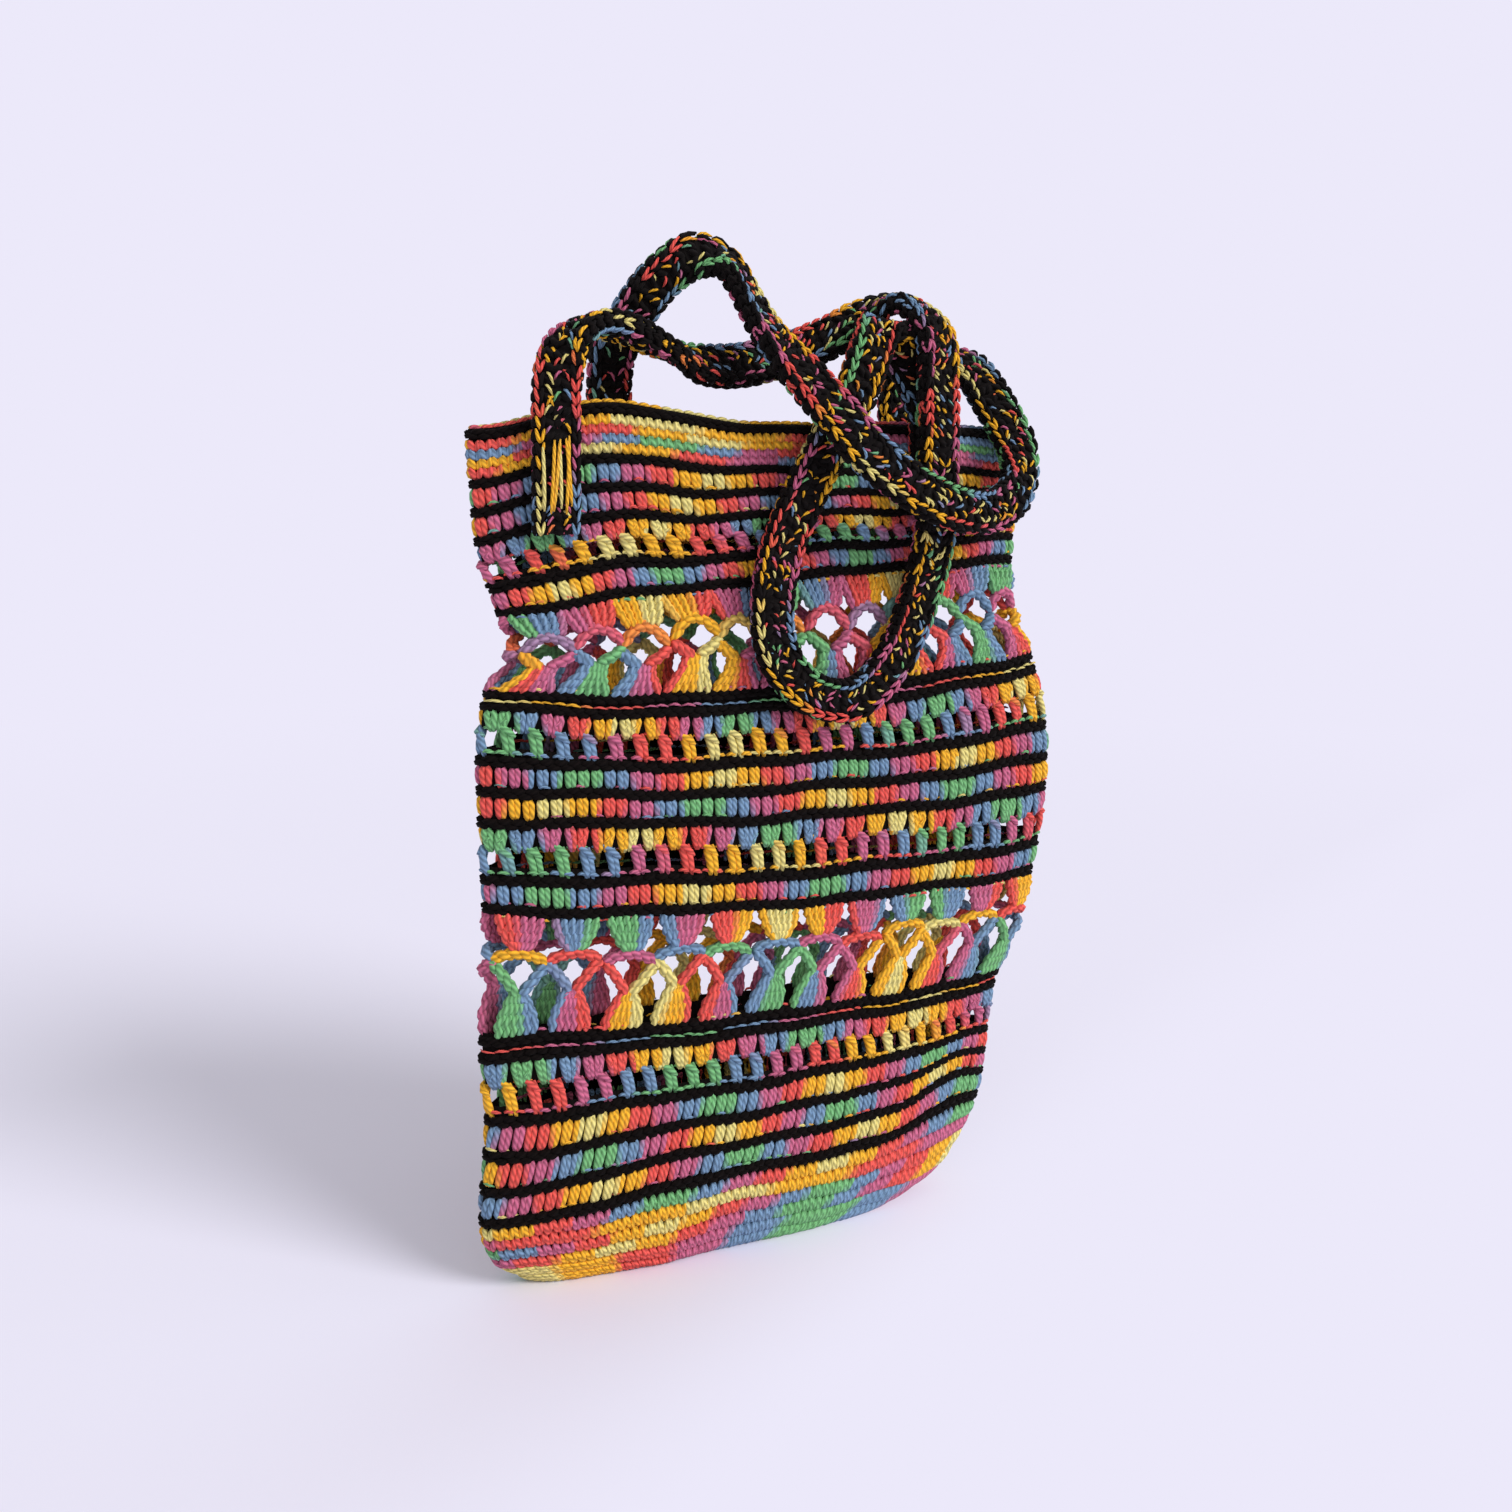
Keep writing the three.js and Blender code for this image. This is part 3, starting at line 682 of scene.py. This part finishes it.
def mesh_heel():
    """How far up the black backing of painted shade closes a mesh round: a low heel in front,
    nearly all at the back, where it paints the back windows dark.
    """
    share = ALL / STITCHES
    back = smoothstep((share - 0.52) / 0.04) * smoothstep((0.99 - share) / 0.03)
    return MESH_HEEL + (MESH_BACK - MESH_HEEL) * back


def shade_backing_bands():
    """Levels of each close-worked part of the wall, with the heels of the mesh windows."""
    bands, z, joined = [], 0.0, False
    for kind, height, *_ in ROUNDS:
        if kind == "mesh":
            bands[-1].append(z + mesh_heel() * height)
        elif kind != "lace":
            if not joined:
                bands.append([z])
            bands[-1].append(z + height)
        joined = kind not in ("mesh", "lace")
        z += height
    return bands


def shade_backing_piece(name, material):
    """Thin black backing behind the close-worked rounds: painted shade, a dark sheet that shuts the
    slits between their stitches.
    """
    vertices, loops, maps = [], [], []
    after = (ALL + 1) % STITCHES
    u = np.stack([ALL, ALL + 1, ALL + 1, ALL], -1) / STITCHES
    base = 0
    for levels in shade_backing_bands():
        section = [(z, SHADE_BACKING_OUTER) for z in levels] + [(z, SHADE_BACKING_INNER) for z in levels[::-1]]
        rows = len(section)
        for r, (z, out) in enumerate(section):
            vertices.append(on_wall(ALL / STITCHES, z, out))
            low, high = base + r * STITCHES, base + (r + 1) % rows * STITCHES
            quads = np.stack([low + ALL, low + after, high + after, high + ALL], -1)
            loops.append(quads.reshape(-1))
            v = np.broadcast_to(np.array([r, r, r + 1, r + 1]) / rows, u.shape)
            maps.append(np.stack([u, v], -1).reshape(-1, 2))
        base += rows * STITCHES
    vertices, loops, uv = (np.concatenate(part) for part in (vertices, loops, maps))
    starts = np.arange(0, len(loops), 4)
    return mesh_piece(name, material, vertices, loops, starts, BLACK, {"Yarn": uv})


def base_rounds(yarn):
    """Oval base: rounds of single stitches from its edge to its middle line, lying on the floor."""
    turns = np.linspace(0, 2 * math.pi, 721)
    for k in range(BASE_ROUNDS):
        left, right, deep = (reach - BASE_INSET - BASE_PITCH * k for reach in OUTLINE[0][1:])
        wide = np.where(np.cos(turns) < 0, left, right)
        arc = arc_lengths(np.stack([wide * np.cos(turns), deep * np.sin(turns)], -1))
        index = np.arange(round(arc[-1] / BASE_STITCH))
        for side in (-1, 1):
            leg = smooth(BASE_LEG, 5) * [side, 1, 1]
            at = (index[:, None] + 0.5 + leg[:, 0]) / len(index) * arc[-1]
            turn = np.interp(np.mod(at, arc[-1]), arc, turns)
            inward = BASE_PITCH * leg[:, 1]
            x = (np.where(np.cos(turn) < 0, left, right) - inward) * np.cos(turn)
            y = np.maximum(deep - inward, BASE_MIDDLE) * np.sin(turn)
            z = np.broadcast_to(BASE_Z + leg[:, 2], x.shape)
            dye = 0.3 + 0.37 * k + SINGLE_DYE * index
            yarn.add(np.stack([x, y, z], -1) * MM, BASE_RADIUS, dye)


def rim_chain(yarn):
    """Pale chain along the inner top edge of the rim."""
    for side in (-1, 1):
        link = smooth([(-0.5, 0.0, 0.0), (0.0, 0.25, 0.5 * side), (0.55, 0.0, 0.0)], 5)
        link[:, 2] += -0.9 + 0.5 * side
        paths = in_round(ALL, link, RIM_Z + RIM_RISE, RIM_HEIGHT, SINGLE_SLACK)
        yarn.add(paths, RIM_RADIUS, RIM_DYE + SINGLE_DYE * ALL)


# Maker of each kind of round, and its piece, or its pieces below and above half height
ROUND_KINDS = {
    "black": (black_round, "black_rounds_lower", "black_rounds_upper"),
    "post": (post_round, "post_stitches"),
    "tall": (tall_round, "tall_stitches"),
    "mesh": (mesh_round, "mesh_posts"),
    "single": (single_round, "single_stitches"),
    "lace": (lace_round, "lace_lower", "lace_upper"),
    "line": (None, "loop_lines"),
}


def round_loops(yarn, kind, z, height, phase):
    """Loops of yarn that show along a round."""
    if kind in ("post", "lace"):
        loop_line(yarn, z, phase + 0.37)
    if kind == "line":
        loop_line(yarn, z, phase, share=1.0, radius=0.55, reach=0.58)
    if kind == "mesh":
        loop_line(yarn, z + 0.8, phase + 0.1, share=1.0, radius=0.85)
        inner_loops(yarn, z, height, phase)
    if kind == "lace":
        loop_line(yarn, z + height - 0.6, phase + 0.77)


def dress_bag(material, black):
    """All stitch pieces of the bag, and the black backing of painted shade behind them."""
    yarns = {name: Yarn() for _, *names in ROUND_KINDS.values() for name in names}
    z = 0.0
    for kind, height, *dye in ROUNDS:
        maker, *names = ROUND_KINDS[kind]
        upper = z > RIM_Z / 2
        yarn = yarns[names[-1 if upper else 0]]
        if maker:
            maker(yarn, z, height, *(LACE_ROUNDS[upper] if kind == "lace" else dye))
        if dye:
            round_loops(yarns["loop_lines"], kind, z, height, dye[0])
        z += height
    base_rounds(yarns["single_stitches"])
    rim_chain(yarns["loop_lines"])
    cottons = {name: black for name in ROUND_KINDS["black"][1:]}
    pieces = [yarn.piece(name, cottons.get(name, material)) for name, yarn in yarns.items()]
    # The backing is a black sheet of painted shade, not a layer of the bag
    return [*pieces, shade_backing_piece("bag_painted_shade_backing", black)]


# Straps

STRAP_PITCH = 5.4
STRAP_COLUMNS = (-3.6, 0.0, 3.6)
STRAP_FACE, STRAP_EDGE = STRAP_THICKNESS / 2 - 0.7, STRAP_WIDTH / 2
CORE_STEP, CORE_BEVEL = 4, 1.6
CHAIN_INSET, CHAIN_RADIUS, DARK_CHAIN_RADIUS = 2.7, 0.85, 1.1
BODY_RADIUS, BODY_SLACK = 1.6, 0.3
FLECK_SHARE, FLECK_RADIUS, FLECK_SLACK = 0.48, 0.66, 0.6
WRAP_RADIUS, WRAP_SLACK = 1.4, 0.2
EDGE_RADIUS, EDGE_DARK_SHARE = 0.95, 0.72
# Share of the dye cycle from fleck to fleck, and rows of chain that one cycle lasts
FLECK_DYE, CHAIN_RUN = 0.07, 48
# Long stitches of a seam, as (mm across of foot and head, mm up of foot and head)
WHIPS = [
    (-6.2, -6.8, -14, 10),
    (-3.4, -1.8, -15, 13),
    (-2.2, 0.6, -14, 14),
    (1.0, 0.2, -13, 12),
    (3.2, 4.4, -15, 15),
    (5.4, 3.0, -12, 14),
]
WHIP_RADIUS, WHIP_POINTS = 0.75, 8
SAME_POINT = 1e-4


def catmull(points, t):
    """Centripetal curve through points, at t from 0 to 1 over its spans."""
    p0, p1, p2, p3, s = spans(points, t)
    pairs = ((p0, p1), (p1, p2), (p2, p3))
    d0, d1, d2 = (np.linalg.norm(b - a, axis=1, keepdims=True) ** 0.5 for a, b in pairs)
    d1 = np.where(d1 < SAME_POINT, 1.0, d1)
    d0 = np.where(d0 < SAME_POINT, d1, d0)
    d2 = np.where(d2 < SAME_POINT, d1, d2)
    t1 = ((p1 - p0) / d0 - (p2 - p0) / (d0 + d1) + (p2 - p1) / d1) * d1
    t2 = ((p2 - p1) / d1 - (p3 - p1) / (d1 + d2) + (p3 - p2) / d2) * d1
    c2 = 3 * (p2 - p1) - 2 * t1 - t2
    c3 = 2 * (p1 - p2) + t1 + t2
    return p1 + s * (t1 + s * (c2 + s * c3))


def strap_seat(x, z, side):
    """Place of a strap lying on the outside of the wall, and the way its face looks."""
    height = np.array([float(z)])
    a = table_at(OUTLINE, 1 if x < 0 else 2, height)
    angle = side * np.arccos(x / a)
    place = wall(angle, height, STRAP_SEAT)[0]
    return place, unit(place - wall(angle, height, 0.0)[0])


def strap_end(x, side, turned):
    """Stations of a strap end on the wall; a turned strap lies with its outer face inwards."""
    ends = [strap_seat(x, RIM_Z - depth, side) for depth in STRAP_END_DEPTHS]
    return [(place, -facing) for place, facing in ends] if turned else ends


class Strap:
    """Frame along a strap: its centre, and the ways across it and out of its face."""

    def __init__(self, stations):
        places, facings = zip(*stations)
        t = np.linspace(0, 1, 2401)
        self.centre = catmull(places, t)
        along = unit(np.gradient(self.centre, axis=0))
        self.across = unit(np.cross(along, catmull(facings, t)))
        self.facing = unit(np.cross(self.across, along))
        self.arc = arc_lengths(self.centre)
        self.length = self.arc[-1]

    def at(self, distance, across, out):
        """Points in metres at distances along the strap, offsets across it and out of its face."""
        distance, across, out = np.broadcast_arrays(distance, across, out)
        d = np.clip(distance, 0, self.length)

        def value(column):
            return np.stack([np.interp(d, self.arc, column[:, k]) for k in range(3)], -1)

        point = value(self.centre) + across[..., None] * value(self.across)
        return (point + out[..., None] * value(self.facing)) * MM


def strap_core(strap, name, material):
    """Close-worked middle of a strap: a flat band under its stitches."""
    half, thick, edge = STRAP_EDGE - 1.6, STRAP_THICKNESS / 2 - 1.1, 0.6
    flat = half - CORE_BEVEL
    across = np.array([-half, -flat, flat, half, half, flat, -flat, -half])
    out = np.array([-edge, -thick, -thick, -edge, edge, thick, thick, edge])
    count, sides = int(strap.length / CORE_STEP), len(out)
    distance = np.linspace(1.0, strap.length - 1.0, count)[:, None]
    vertices = strap.at(distance, across, out).reshape(-1, 3)
    around = np.arange(sides)
    k, j = np.meshgrid(np.arange(count - 1), around, indexing="ij")
    row = np.stack([k, k + 1, k + 1, k], -1).reshape(-1)
    side = np.stack([j, j, j + 1, j + 1], -1).reshape(-1)
    quads = row * sides + side % sides
    loops = np.concatenate([quads, around, (count - 1) * sides + around[::-1]])
    starts = np.append(np.arange(0, len(quads) + 1, 4), len(quads) + sides)
    uv = np.vstack([np.stack([row / count, side / sides], -1), np.zeros((2 * sides, 2))])
    return mesh_piece(name, material, vertices, loops, starts, BLACK, {"Yarn": uv})


def strap_strands(yarn, strap, rows, points, radius, dye, slack=0.12):
    """Strand at each row of a strap; points are (rows along, mm across, mm out)."""
    along, across, out = smooth(points, len(points) + 1).T
    shift = RNG.normal(0, slack, (len(rows), 3))
    distance = (rows[:, None] + 0.5 + along) * STRAP_PITCH + shift[:, :1]
    yarn.add(strap.at(distance, across + shift[:, 1:2], out + shift[:, 2:] * 0.5), radius, dye)


def fleck_dye(dye):
    """Dye of flecks, which come mostly from the pale and warm parts of the cycle."""
    return 0.40 * np.sin(2 * math.pi * dye) ** 3


def edge_chains(yarn, strap, rows, out, phase):
    """Chain of V's along each edge of one face of a strap, some of their legs black."""
    face = STRAP_FACE * out
    for side in (-1, 1):
        a = side * (STRAP_EDGE - CHAIN_INSET)
        chain_dye = phase + 0.31 * side + 0.17 * out + rows / CHAIN_RUN
        for leg in (-1, 1):
            dark = RNG.random(len(rows)) < 0.33 + 0.18 * leg
            over = [
                (-0.46, a + 0.1 * leg, face - 0.3 * out),
                (-0.05, a + 0.9 * leg, face + 0.7 * out),
                (0.55, a + 1.7 * leg, face - 0.3 * out),
            ]
            radii = np.where(dark, DARK_CHAIN_RADIUS, CHAIN_RADIUS)[:, None]
            strap_strands(yarn, strap, rows, over, radii, np.where(dark, BLACK, chain_dye))


def marled_columns(yarn, strap, rows, out, phase):
    """Columns of tilted black stitches on one face of a strap, with marled flecks on them."""
    face = STRAP_FACE * out
    for k, column in enumerate(STRAP_COLUMNS):
        tilt = RNG.uniform(-1, 1, len(rows))
        for turn in (-1, 1):
            some = rows[tilt * turn > 0]
            body = [
                (-0.3 * turn, column - 2.2, face - 1.0 * out),
                (0.0, column, face + 0.1 * out),
                (0.3 * turn, column + 2.2, face - 1.0 * out),
            ]
            strap_strands(yarn, strap, some, body, BODY_RADIUS, BLACK, BODY_SLACK)
            for offset in (0.1, 0.6):
                marled = some[RNG.random(len(some)) < FLECK_SHARE]
                fleck = [
                    (offset - 0.36 * turn, column - 1.5, face - 0.1 * out),
                    (offset + 0.20, column, face + 0.8 * out),
                    (offset + 0.36 * turn, column + 1.5, face - 0.1 * out),
                ]
                dye = phase + 0.4 * out + FLECK_DYE * (len(STRAP_COLUMNS) * marled + k)
                dye = fleck_dye(dye + RNG.normal(0, 0.12, len(marled)))
                strap_strands(yarn, strap, marled, fleck, FLECK_RADIUS, dye, FLECK_SLACK)


def strap_edge(yarn, strap, rows, side, phase):
    """Wraps round one long edge of a strap, and the chain along it."""
    wrap = [
        (-0.2, side * (STRAP_EDGE - 2.4), STRAP_FACE - 0.2),
        (0.0, side * (STRAP_EDGE - 1.2), STRAP_FACE * 0.5),
        (0.15, side * (STRAP_EDGE - 1.2), -STRAP_FACE * 0.5),
        (0.3, side * (STRAP_EDGE - 2.4), -STRAP_FACE + 0.2),
    ]
    strap_strands(yarn, strap, rows, wrap, WRAP_RADIUS, BLACK, WRAP_SLACK)
    for leg in (-1, 1):
        dark = RNG.random(len(rows)) < EDGE_DARK_SHARE
        dye = np.where(dark, BLACK, phase + 0.5 * side + rows / CHAIN_RUN)
        link = [
            (-0.46, side * (STRAP_EDGE - 1.1), 0.1 * leg),
            (-0.05, side * (STRAP_EDGE - 0.5), 0.9 * leg),
            (0.55, side * (STRAP_EDGE - 1.2), 1.8 * leg),
        ]
        strap_strands(yarn, strap, rows, link, EDGE_RADIUS, dye)


def strap_stitches(strap, name, material, phase):
    """Marled stitches of a strap: both faces and both long edges."""
    yarn = Yarn()
    rows = np.arange(int(strap.length / STRAP_PITCH) - 1)
    for out in (-1, 1):
        edge_chains(yarn, strap, rows, out, phase)
        marled_columns(yarn, strap, rows, out, phase)
    for side in (-1, 1):
        strap_edge(yarn, strap, rows, side, phase)
    return yarn.piece(name, material)


def whip_stitches(name, material, x, side, phase):
    """Long stitches of sewing yarn that hold a strap end."""
    yarn = Yarn()
    for foot, head, low, high in WHIPS:
        points = []
        for s in np.linspace(0, 1, WHIP_POINTS):
            rise = low + (high - low) * s
            place, facing = strap_seat(x, RIM_Z - SEAM_DEPTH + rise, side)
            across = unit(np.cross([0.0, 0.0, 1.0], facing))
            proud = STRAP_THICKNESS / 2 + 0.2 + math.sin(math.pi * s)
            points.append(place + facing * proud + across * (foot + (head - foot) * s))
        dye = phase + RNG.uniform(-0.06, 0.06)
        yarn.add(np.array([points]) * MM, WHIP_RADIUS, dye, sides=8)
    return yarn.piece(name, material)


def dress_strap(run, ends, name, material, phase):
    """A strap's core and stitches."""
    left, right = ends
    free = [((x, y, RIM_Z + rise), facing) for x, y, rise, *facing in run]
    strap = Strap(left + free + right[::-1])
    core = strap_core(strap, f"{name}_core", material)
    stitches = strap_stitches(strap, f"{name}_stitches", material, phase)
    for piece in (core, stitches):
        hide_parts(name)
    return core, stitches


# Materials

TWISTS_PER_METRE, PLIES = 310.0, 3.0
PATCH_GRAIN, FIBRE_GRAIN, GRAIN_DETAIL = 260.0, 2600.0, 2.0
# Weights of the colour multiplier: the ply term paints shade into the grooves of the twist and
# lightens its crowns; patches and fibres are random tone
PAINTED_GROOVE_SHADE, PATCH_SHADE, FIBRE_SHADE, BASE_SHADE = 0.66, 0.40, 0.30, 0.29
PLY_RELIEF, FIBRE_RELIEF, BUMP_STRENGTH, BUMP_DEPTH = 0.7, 0.5, 0.55, 0.0003
ROUGHNESS, SPECULAR, SHEEN, SHEEN_ROUGHNESS = 0.82, 0.25, 0.05, 0.5
# Where the floor turns into the backdrop, in metres from the bag and in front of it
FAR_FLOOR, FRONT_FLOOR, FRONT_WAY = (0.9, 2.2), (-0.03, 0.10), (0.45, -0.89, 0.0)


class Nodes:
    """Adds nodes to a tree and links them."""

    def __init__(self, tree):
        self.tree = tree

    def add(self, kind, settings=(), *slots, **inputs):
        """New node; slots are its first inputs in order, and other inputs go by name."""
        node = self.tree.nodes.new(kind)
        for key, value in dict(settings).items():
            setattr(node, key, value)
        for key, value in [*enumerate(slots), *inputs.items()]:
            self.put(value, node.inputs[key])
        return node

    def put(self, value, socket):
        if isinstance(value, bpy.types.NodeSocket):
            self.tree.links.new(value, socket)
        else:
            socket.default_value = value

    def math(self, operation, a, b=0.0):
        return self.add("ShaderNodeMath", {"operation": operation}, a, b).outputs[0]

    def weigh(self, *parts):
        """Sum of parts, each as (value, weight)."""
        total, *others = (self.math("MULTIPLY", value, weight) for value, weight in parts)
        for other in others:
            total = self.math("ADD", total, other)
        return total

    def mix(self, blend, factor, a, b):
        node = self.add("ShaderNodeMix", {"data_type": "RGBA", "blend_type": blend})
        for key, value in (("Factor", factor), (6, a), (7, b)):
            self.put(value, node.inputs[key])
        return node.outputs[2]

    def step(self, value, low, high):
        """Smooth step from 0 at low to 1 at high."""
        smoothed = {"interpolation_type": "SMOOTHSTEP"}
        return self.add("ShaderNodeMapRange", smoothed, value, low, high).outputs[0]

    def noise(self, place, grain):
        node = self.add("ShaderNodeTexNoise", Vector=place, Scale=grain, Detail=GRAIN_DETAIL)
        return node.outputs["Fac"]


def dye_ramp(node):
    """The variegated cycle as colour stops, with short blends between the colours."""
    stops, at = [], 0.0
    for colour in DYE_CYCLE:
        share = GREEN_SHARE if colour == GREEN else DYE_SHARE
        stops.append((at + DYE_BLEND / 2, colour))
        stops.append((at + share - DYE_BLEND / 2, colour))
        at += share
    elements = node.color_ramp.elements
    for position, _ in stops[1:-1]:
        elements.new(position)
    for element, (position, colour) in zip(elements, stops):
        element.position = position
        element.color = (*linear(colour), 1.0)


def cotton(name, gloss):
    """Cotton yarn, black or variegated by its dye, with painted shade in the grooves of its twisted
    plies, and fine fibres.
    """
    material = bpy.data.materials.new(name)
    material.use_nodes = True
    n = Nodes(material.node_tree)
    shader = material.node_tree.nodes["Principled BSDF"]
    dye = n.add("ShaderNodeAttribute", {"attribute_name": "dye"}).outputs["Fac"]
    ramp = n.add("ShaderNodeValToRGB", (), n.math("FRACT", dye))
    dye_ramp(ramp)
    place = n.add("ShaderNodeTexCoord").outputs["Object"]
    patches, fibres = n.noise(place, PATCH_GRAIN), n.noise(place, FIBRE_GRAIN)
    uv = n.add("ShaderNodeUVMap", {"uv_map": "Yarn"}).outputs["UV"]
    along, around, _ = n.add("ShaderNodeSeparateXYZ", (), uv).outputs
    twist = n.weigh((along, TWISTS_PER_METRE), (around, PLIES))
    wave = n.math("SINE", n.math("MULTIPLY", twist, 2 * math.pi))
    ply = n.math("ADD", n.math("MULTIPLY", wave, 0.5), 0.5)
    # Painted shade in the ply grooves, with random tone from patches and fibres, scales the dye
    # colour
    tone_and_painted_shade = n.weigh((ply, PAINTED_GROOVE_SHADE), (patches, PATCH_SHADE), (fibres, FIBRE_SHADE))
    tone_and_painted_shade = n.math("ADD", tone_and_painted_shade, BASE_SHADE)
    tinted = n.mix("MULTIPLY", 1.0, ramp.outputs["Color"], tone_and_painted_shade)
    black = n.mix("MULTIPLY", 1.0, (*linear(BLACK_YARN), 1.0), tone_and_painted_shade)
    is_black = n.math("LESS_THAN", dye, BLACK / 2)
    n.put(n.mix("MIX", is_black, tinted, black), shader.inputs["Base Color"])
    relief = n.weigh((ply, PLY_RELIEF), (fibres, FIBRE_RELIEF))
    bump = n.add("ShaderNodeBump", Strength=BUMP_STRENGTH, Distance=BUMP_DEPTH, Height=relief)
    n.put(bump.outputs["Normal"], shader.inputs["Normal"])
    n.put(ROUGHNESS, shader.inputs["Roughness"])
    n.put(SPECULAR * gloss, shader.inputs["Specular IOR Level"])
    n.put(SHEEN * gloss, shader.inputs["Sheen Weight"])
    n.put(SHEEN_ROUGHNESS, shader.inputs["Sheen Roughness"])
    return material


def floor_material():
    """Pale lavender floor that runs on into the backdrop."""
    material = bpy.data.materials.new("studio_floor")
    material.use_nodes = True
    n = Nodes(material.node_tree)
    n.tree.nodes.clear()
    colour = (*linear(BACKDROP), 1.0)
    place = n.add("ShaderNodeNewGeometry").outputs["Position"]
    away = n.add("ShaderNodeVectorMath", {"operation": "LENGTH"}, place)
    before = n.add("ShaderNodeVectorMath", {"operation": "DOT_PRODUCT"}, place, FRONT_WAY)
    far = n.step(away.outputs["Value"], *FAR_FLOOR)
    front = n.step(before.outputs["Value"], *FRONT_FLOOR)
    lit = n.math("MAXIMUM", far, front)
    diffuse = n.add("ShaderNodeBsdfDiffuse", Color=colour)
    glow = n.add("ShaderNodeEmission", Color=colour)
    mixed = n.add("ShaderNodeMixShader", (), lit, diffuse.outputs[0], glow.outputs[0])
    n.add("ShaderNodeOutputMaterial", Surface=mixed.outputs[0])
    return material


# Studio

CAMERA_AT = (-0.321, -0.584, 0.343)
CAMERA_YAW, CAMERA_PITCH, CAMERA_ROLL = (math.radians(v) for v in (27.7, 8.9, 0.8))
FOCAL_PX, FRAME_PX, SENSOR = 1400, 1512, 36
SUN_FROM, SUN_ELEVATION = (0.52, -0.85), math.radians(34)
SUN_ANGLE, SUN_STRENGTH, SKY_STRENGTH = math.radians(28), 2.02, 0.62
FLOOR_SIZE = 12.0


def axes_matrix(across, up, back, at=(0.0, 0.0, 0.0)):
    """Matrix of an object from its three axes and its place."""
    matrix = np.eye(4)
    matrix[:3] = np.stack([across, up, back, at], -1)
    return Matrix(matrix.tolist())


def make_camera():
    data = bpy.data.cameras.new("camera")
    data.sensor_width = SENSOR
    data.lens = SENSOR * FOCAL_PX / FRAME_PX
    data.clip_start, data.clip_end = 0.01, 50
    camera = new_object("camera", data)
    flat = np.array([math.sin(CAMERA_YAW), math.cos(CAMERA_YAW), 0.0])
    ahead = flat * math.cos(CAMERA_PITCH) - [0.0, 0.0, math.sin(CAMERA_PITCH)]
    level = np.array([math.cos(CAMERA_YAW), -math.sin(CAMERA_YAW), 0.0])
    upright = np.cross(level, ahead)
    right = level * math.cos(CAMERA_ROLL) + upright * math.sin(CAMERA_ROLL)
    up = upright * math.cos(CAMERA_ROLL) - level * math.sin(CAMERA_ROLL)
    camera.matrix_world = axes_matrix(right, up, -ahead, CAMERA_AT)
    bpy.context.scene.camera = camera


def make_floor():
    corners = [(x * FLOOR_SIZE, y * FLOOR_SIZE, 0) for x, y in ((-1, -1), (1, -1), (1, 1), (-1, 1))]
    mesh = bpy.data.meshes.new("floor")
    mesh.from_pydata(corners, [], [(0, 1, 2, 3)])
    mesh.materials.append(floor_material())
    floor = new_object("floor", mesh)


def make_sun():
    data = bpy.data.lights.new("key", "SUN")
    data.energy, data.angle = SUN_STRENGTH, SUN_ANGLE
    flat = unit(np.array(SUN_FROM)) * math.cos(SUN_ELEVATION)
    back = np.array([*flat, math.sin(SUN_ELEVATION)])
    side = unit(np.cross([0.0, 0.0, 1.0], back))
    new_object("key", data).matrix_world = axes_matrix(side, np.cross(back, side), back)


def make_sky():
    """White sky for the light, and the backdrop where the camera sees it."""
    world = bpy.data.worlds.new("studio")
    world.use_nodes = True
    n = Nodes(world.node_tree)
    n.tree.nodes.clear()
    path = n.add("ShaderNodeLightPath").outputs
    seen = n.math("MAXIMUM", path["Is Camera Ray"], path["Is Glossy Ray"])
    seen = n.math("MAXIMUM", seen, path["Is Transmission Ray"])
    sky = n.add("ShaderNodeBackground", Color=(1.0, 1.0, 1.0, 1.0), Strength=SKY_STRENGTH)
    drop = n.add("ShaderNodeBackground", Color=(*linear(BACKDROP), 1.0))
    mixed = n.add("ShaderNodeMixShader", (), seen, sky.outputs[0], drop.outputs[0])
    n.add("ShaderNodeOutputWorld", Surface=mixed.outputs[0])
    bpy.context.scene.world = world


def main():
    bpy.context.scene.view_settings.view_transform = "Standard"
    make_camera()
    make_floor()
    make_sun()
    make_sky()
    strap_cotton = cotton("marled_cotton", 0.4)
    sewing_cotton = cotton("sewing_cotton", 1.0)
    bag_pieces = dress_bag(cotton("variegated_cotton", 1.0), cotton("black_cotton", 0.25))
    for piece in bag_pieces:
        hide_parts("bag_body")
    front_ends = strap_end(FRONT_LEFT_X, FRONT, False), strap_end(FRONT_RIGHT_X, FRONT, True)
    back_ends = strap_end(BACK_LEFT_X, BACK, True), strap_end(BACK_RIGHT_X, BACK, False)
    strap_pieces = [
        *dress_strap(FRONT_RUN, front_ends, "strap_front", strap_cotton, 0.15),
        *dress_strap(BACK_RUN, back_ends, "strap_back", strap_cotton, 0.55),
    ]
    seams = {
        "front_left": (FRONT_LEFT_X, FRONT, 0.10),
        "front_right": (FRONT_RIGHT_X, FRONT, 0.10),
        "back_left": (BACK_LEFT_X, BACK, 0.08),
        "back_right": (BACK_RIGHT_X, BACK, 0.13),
    }
    whip_pieces = []
    for place, (x, side, phase) in seams.items():
        piece = whip_stitches(f"whip_stitches_{place}", sewing_cotton, x, side, phase)
        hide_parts(f"sewing_yarn_{place}")
        whip_pieces.append(piece)
    for piece in bag_pieces + strap_pieces + whip_pieces:
        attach(piece, "root")


main()
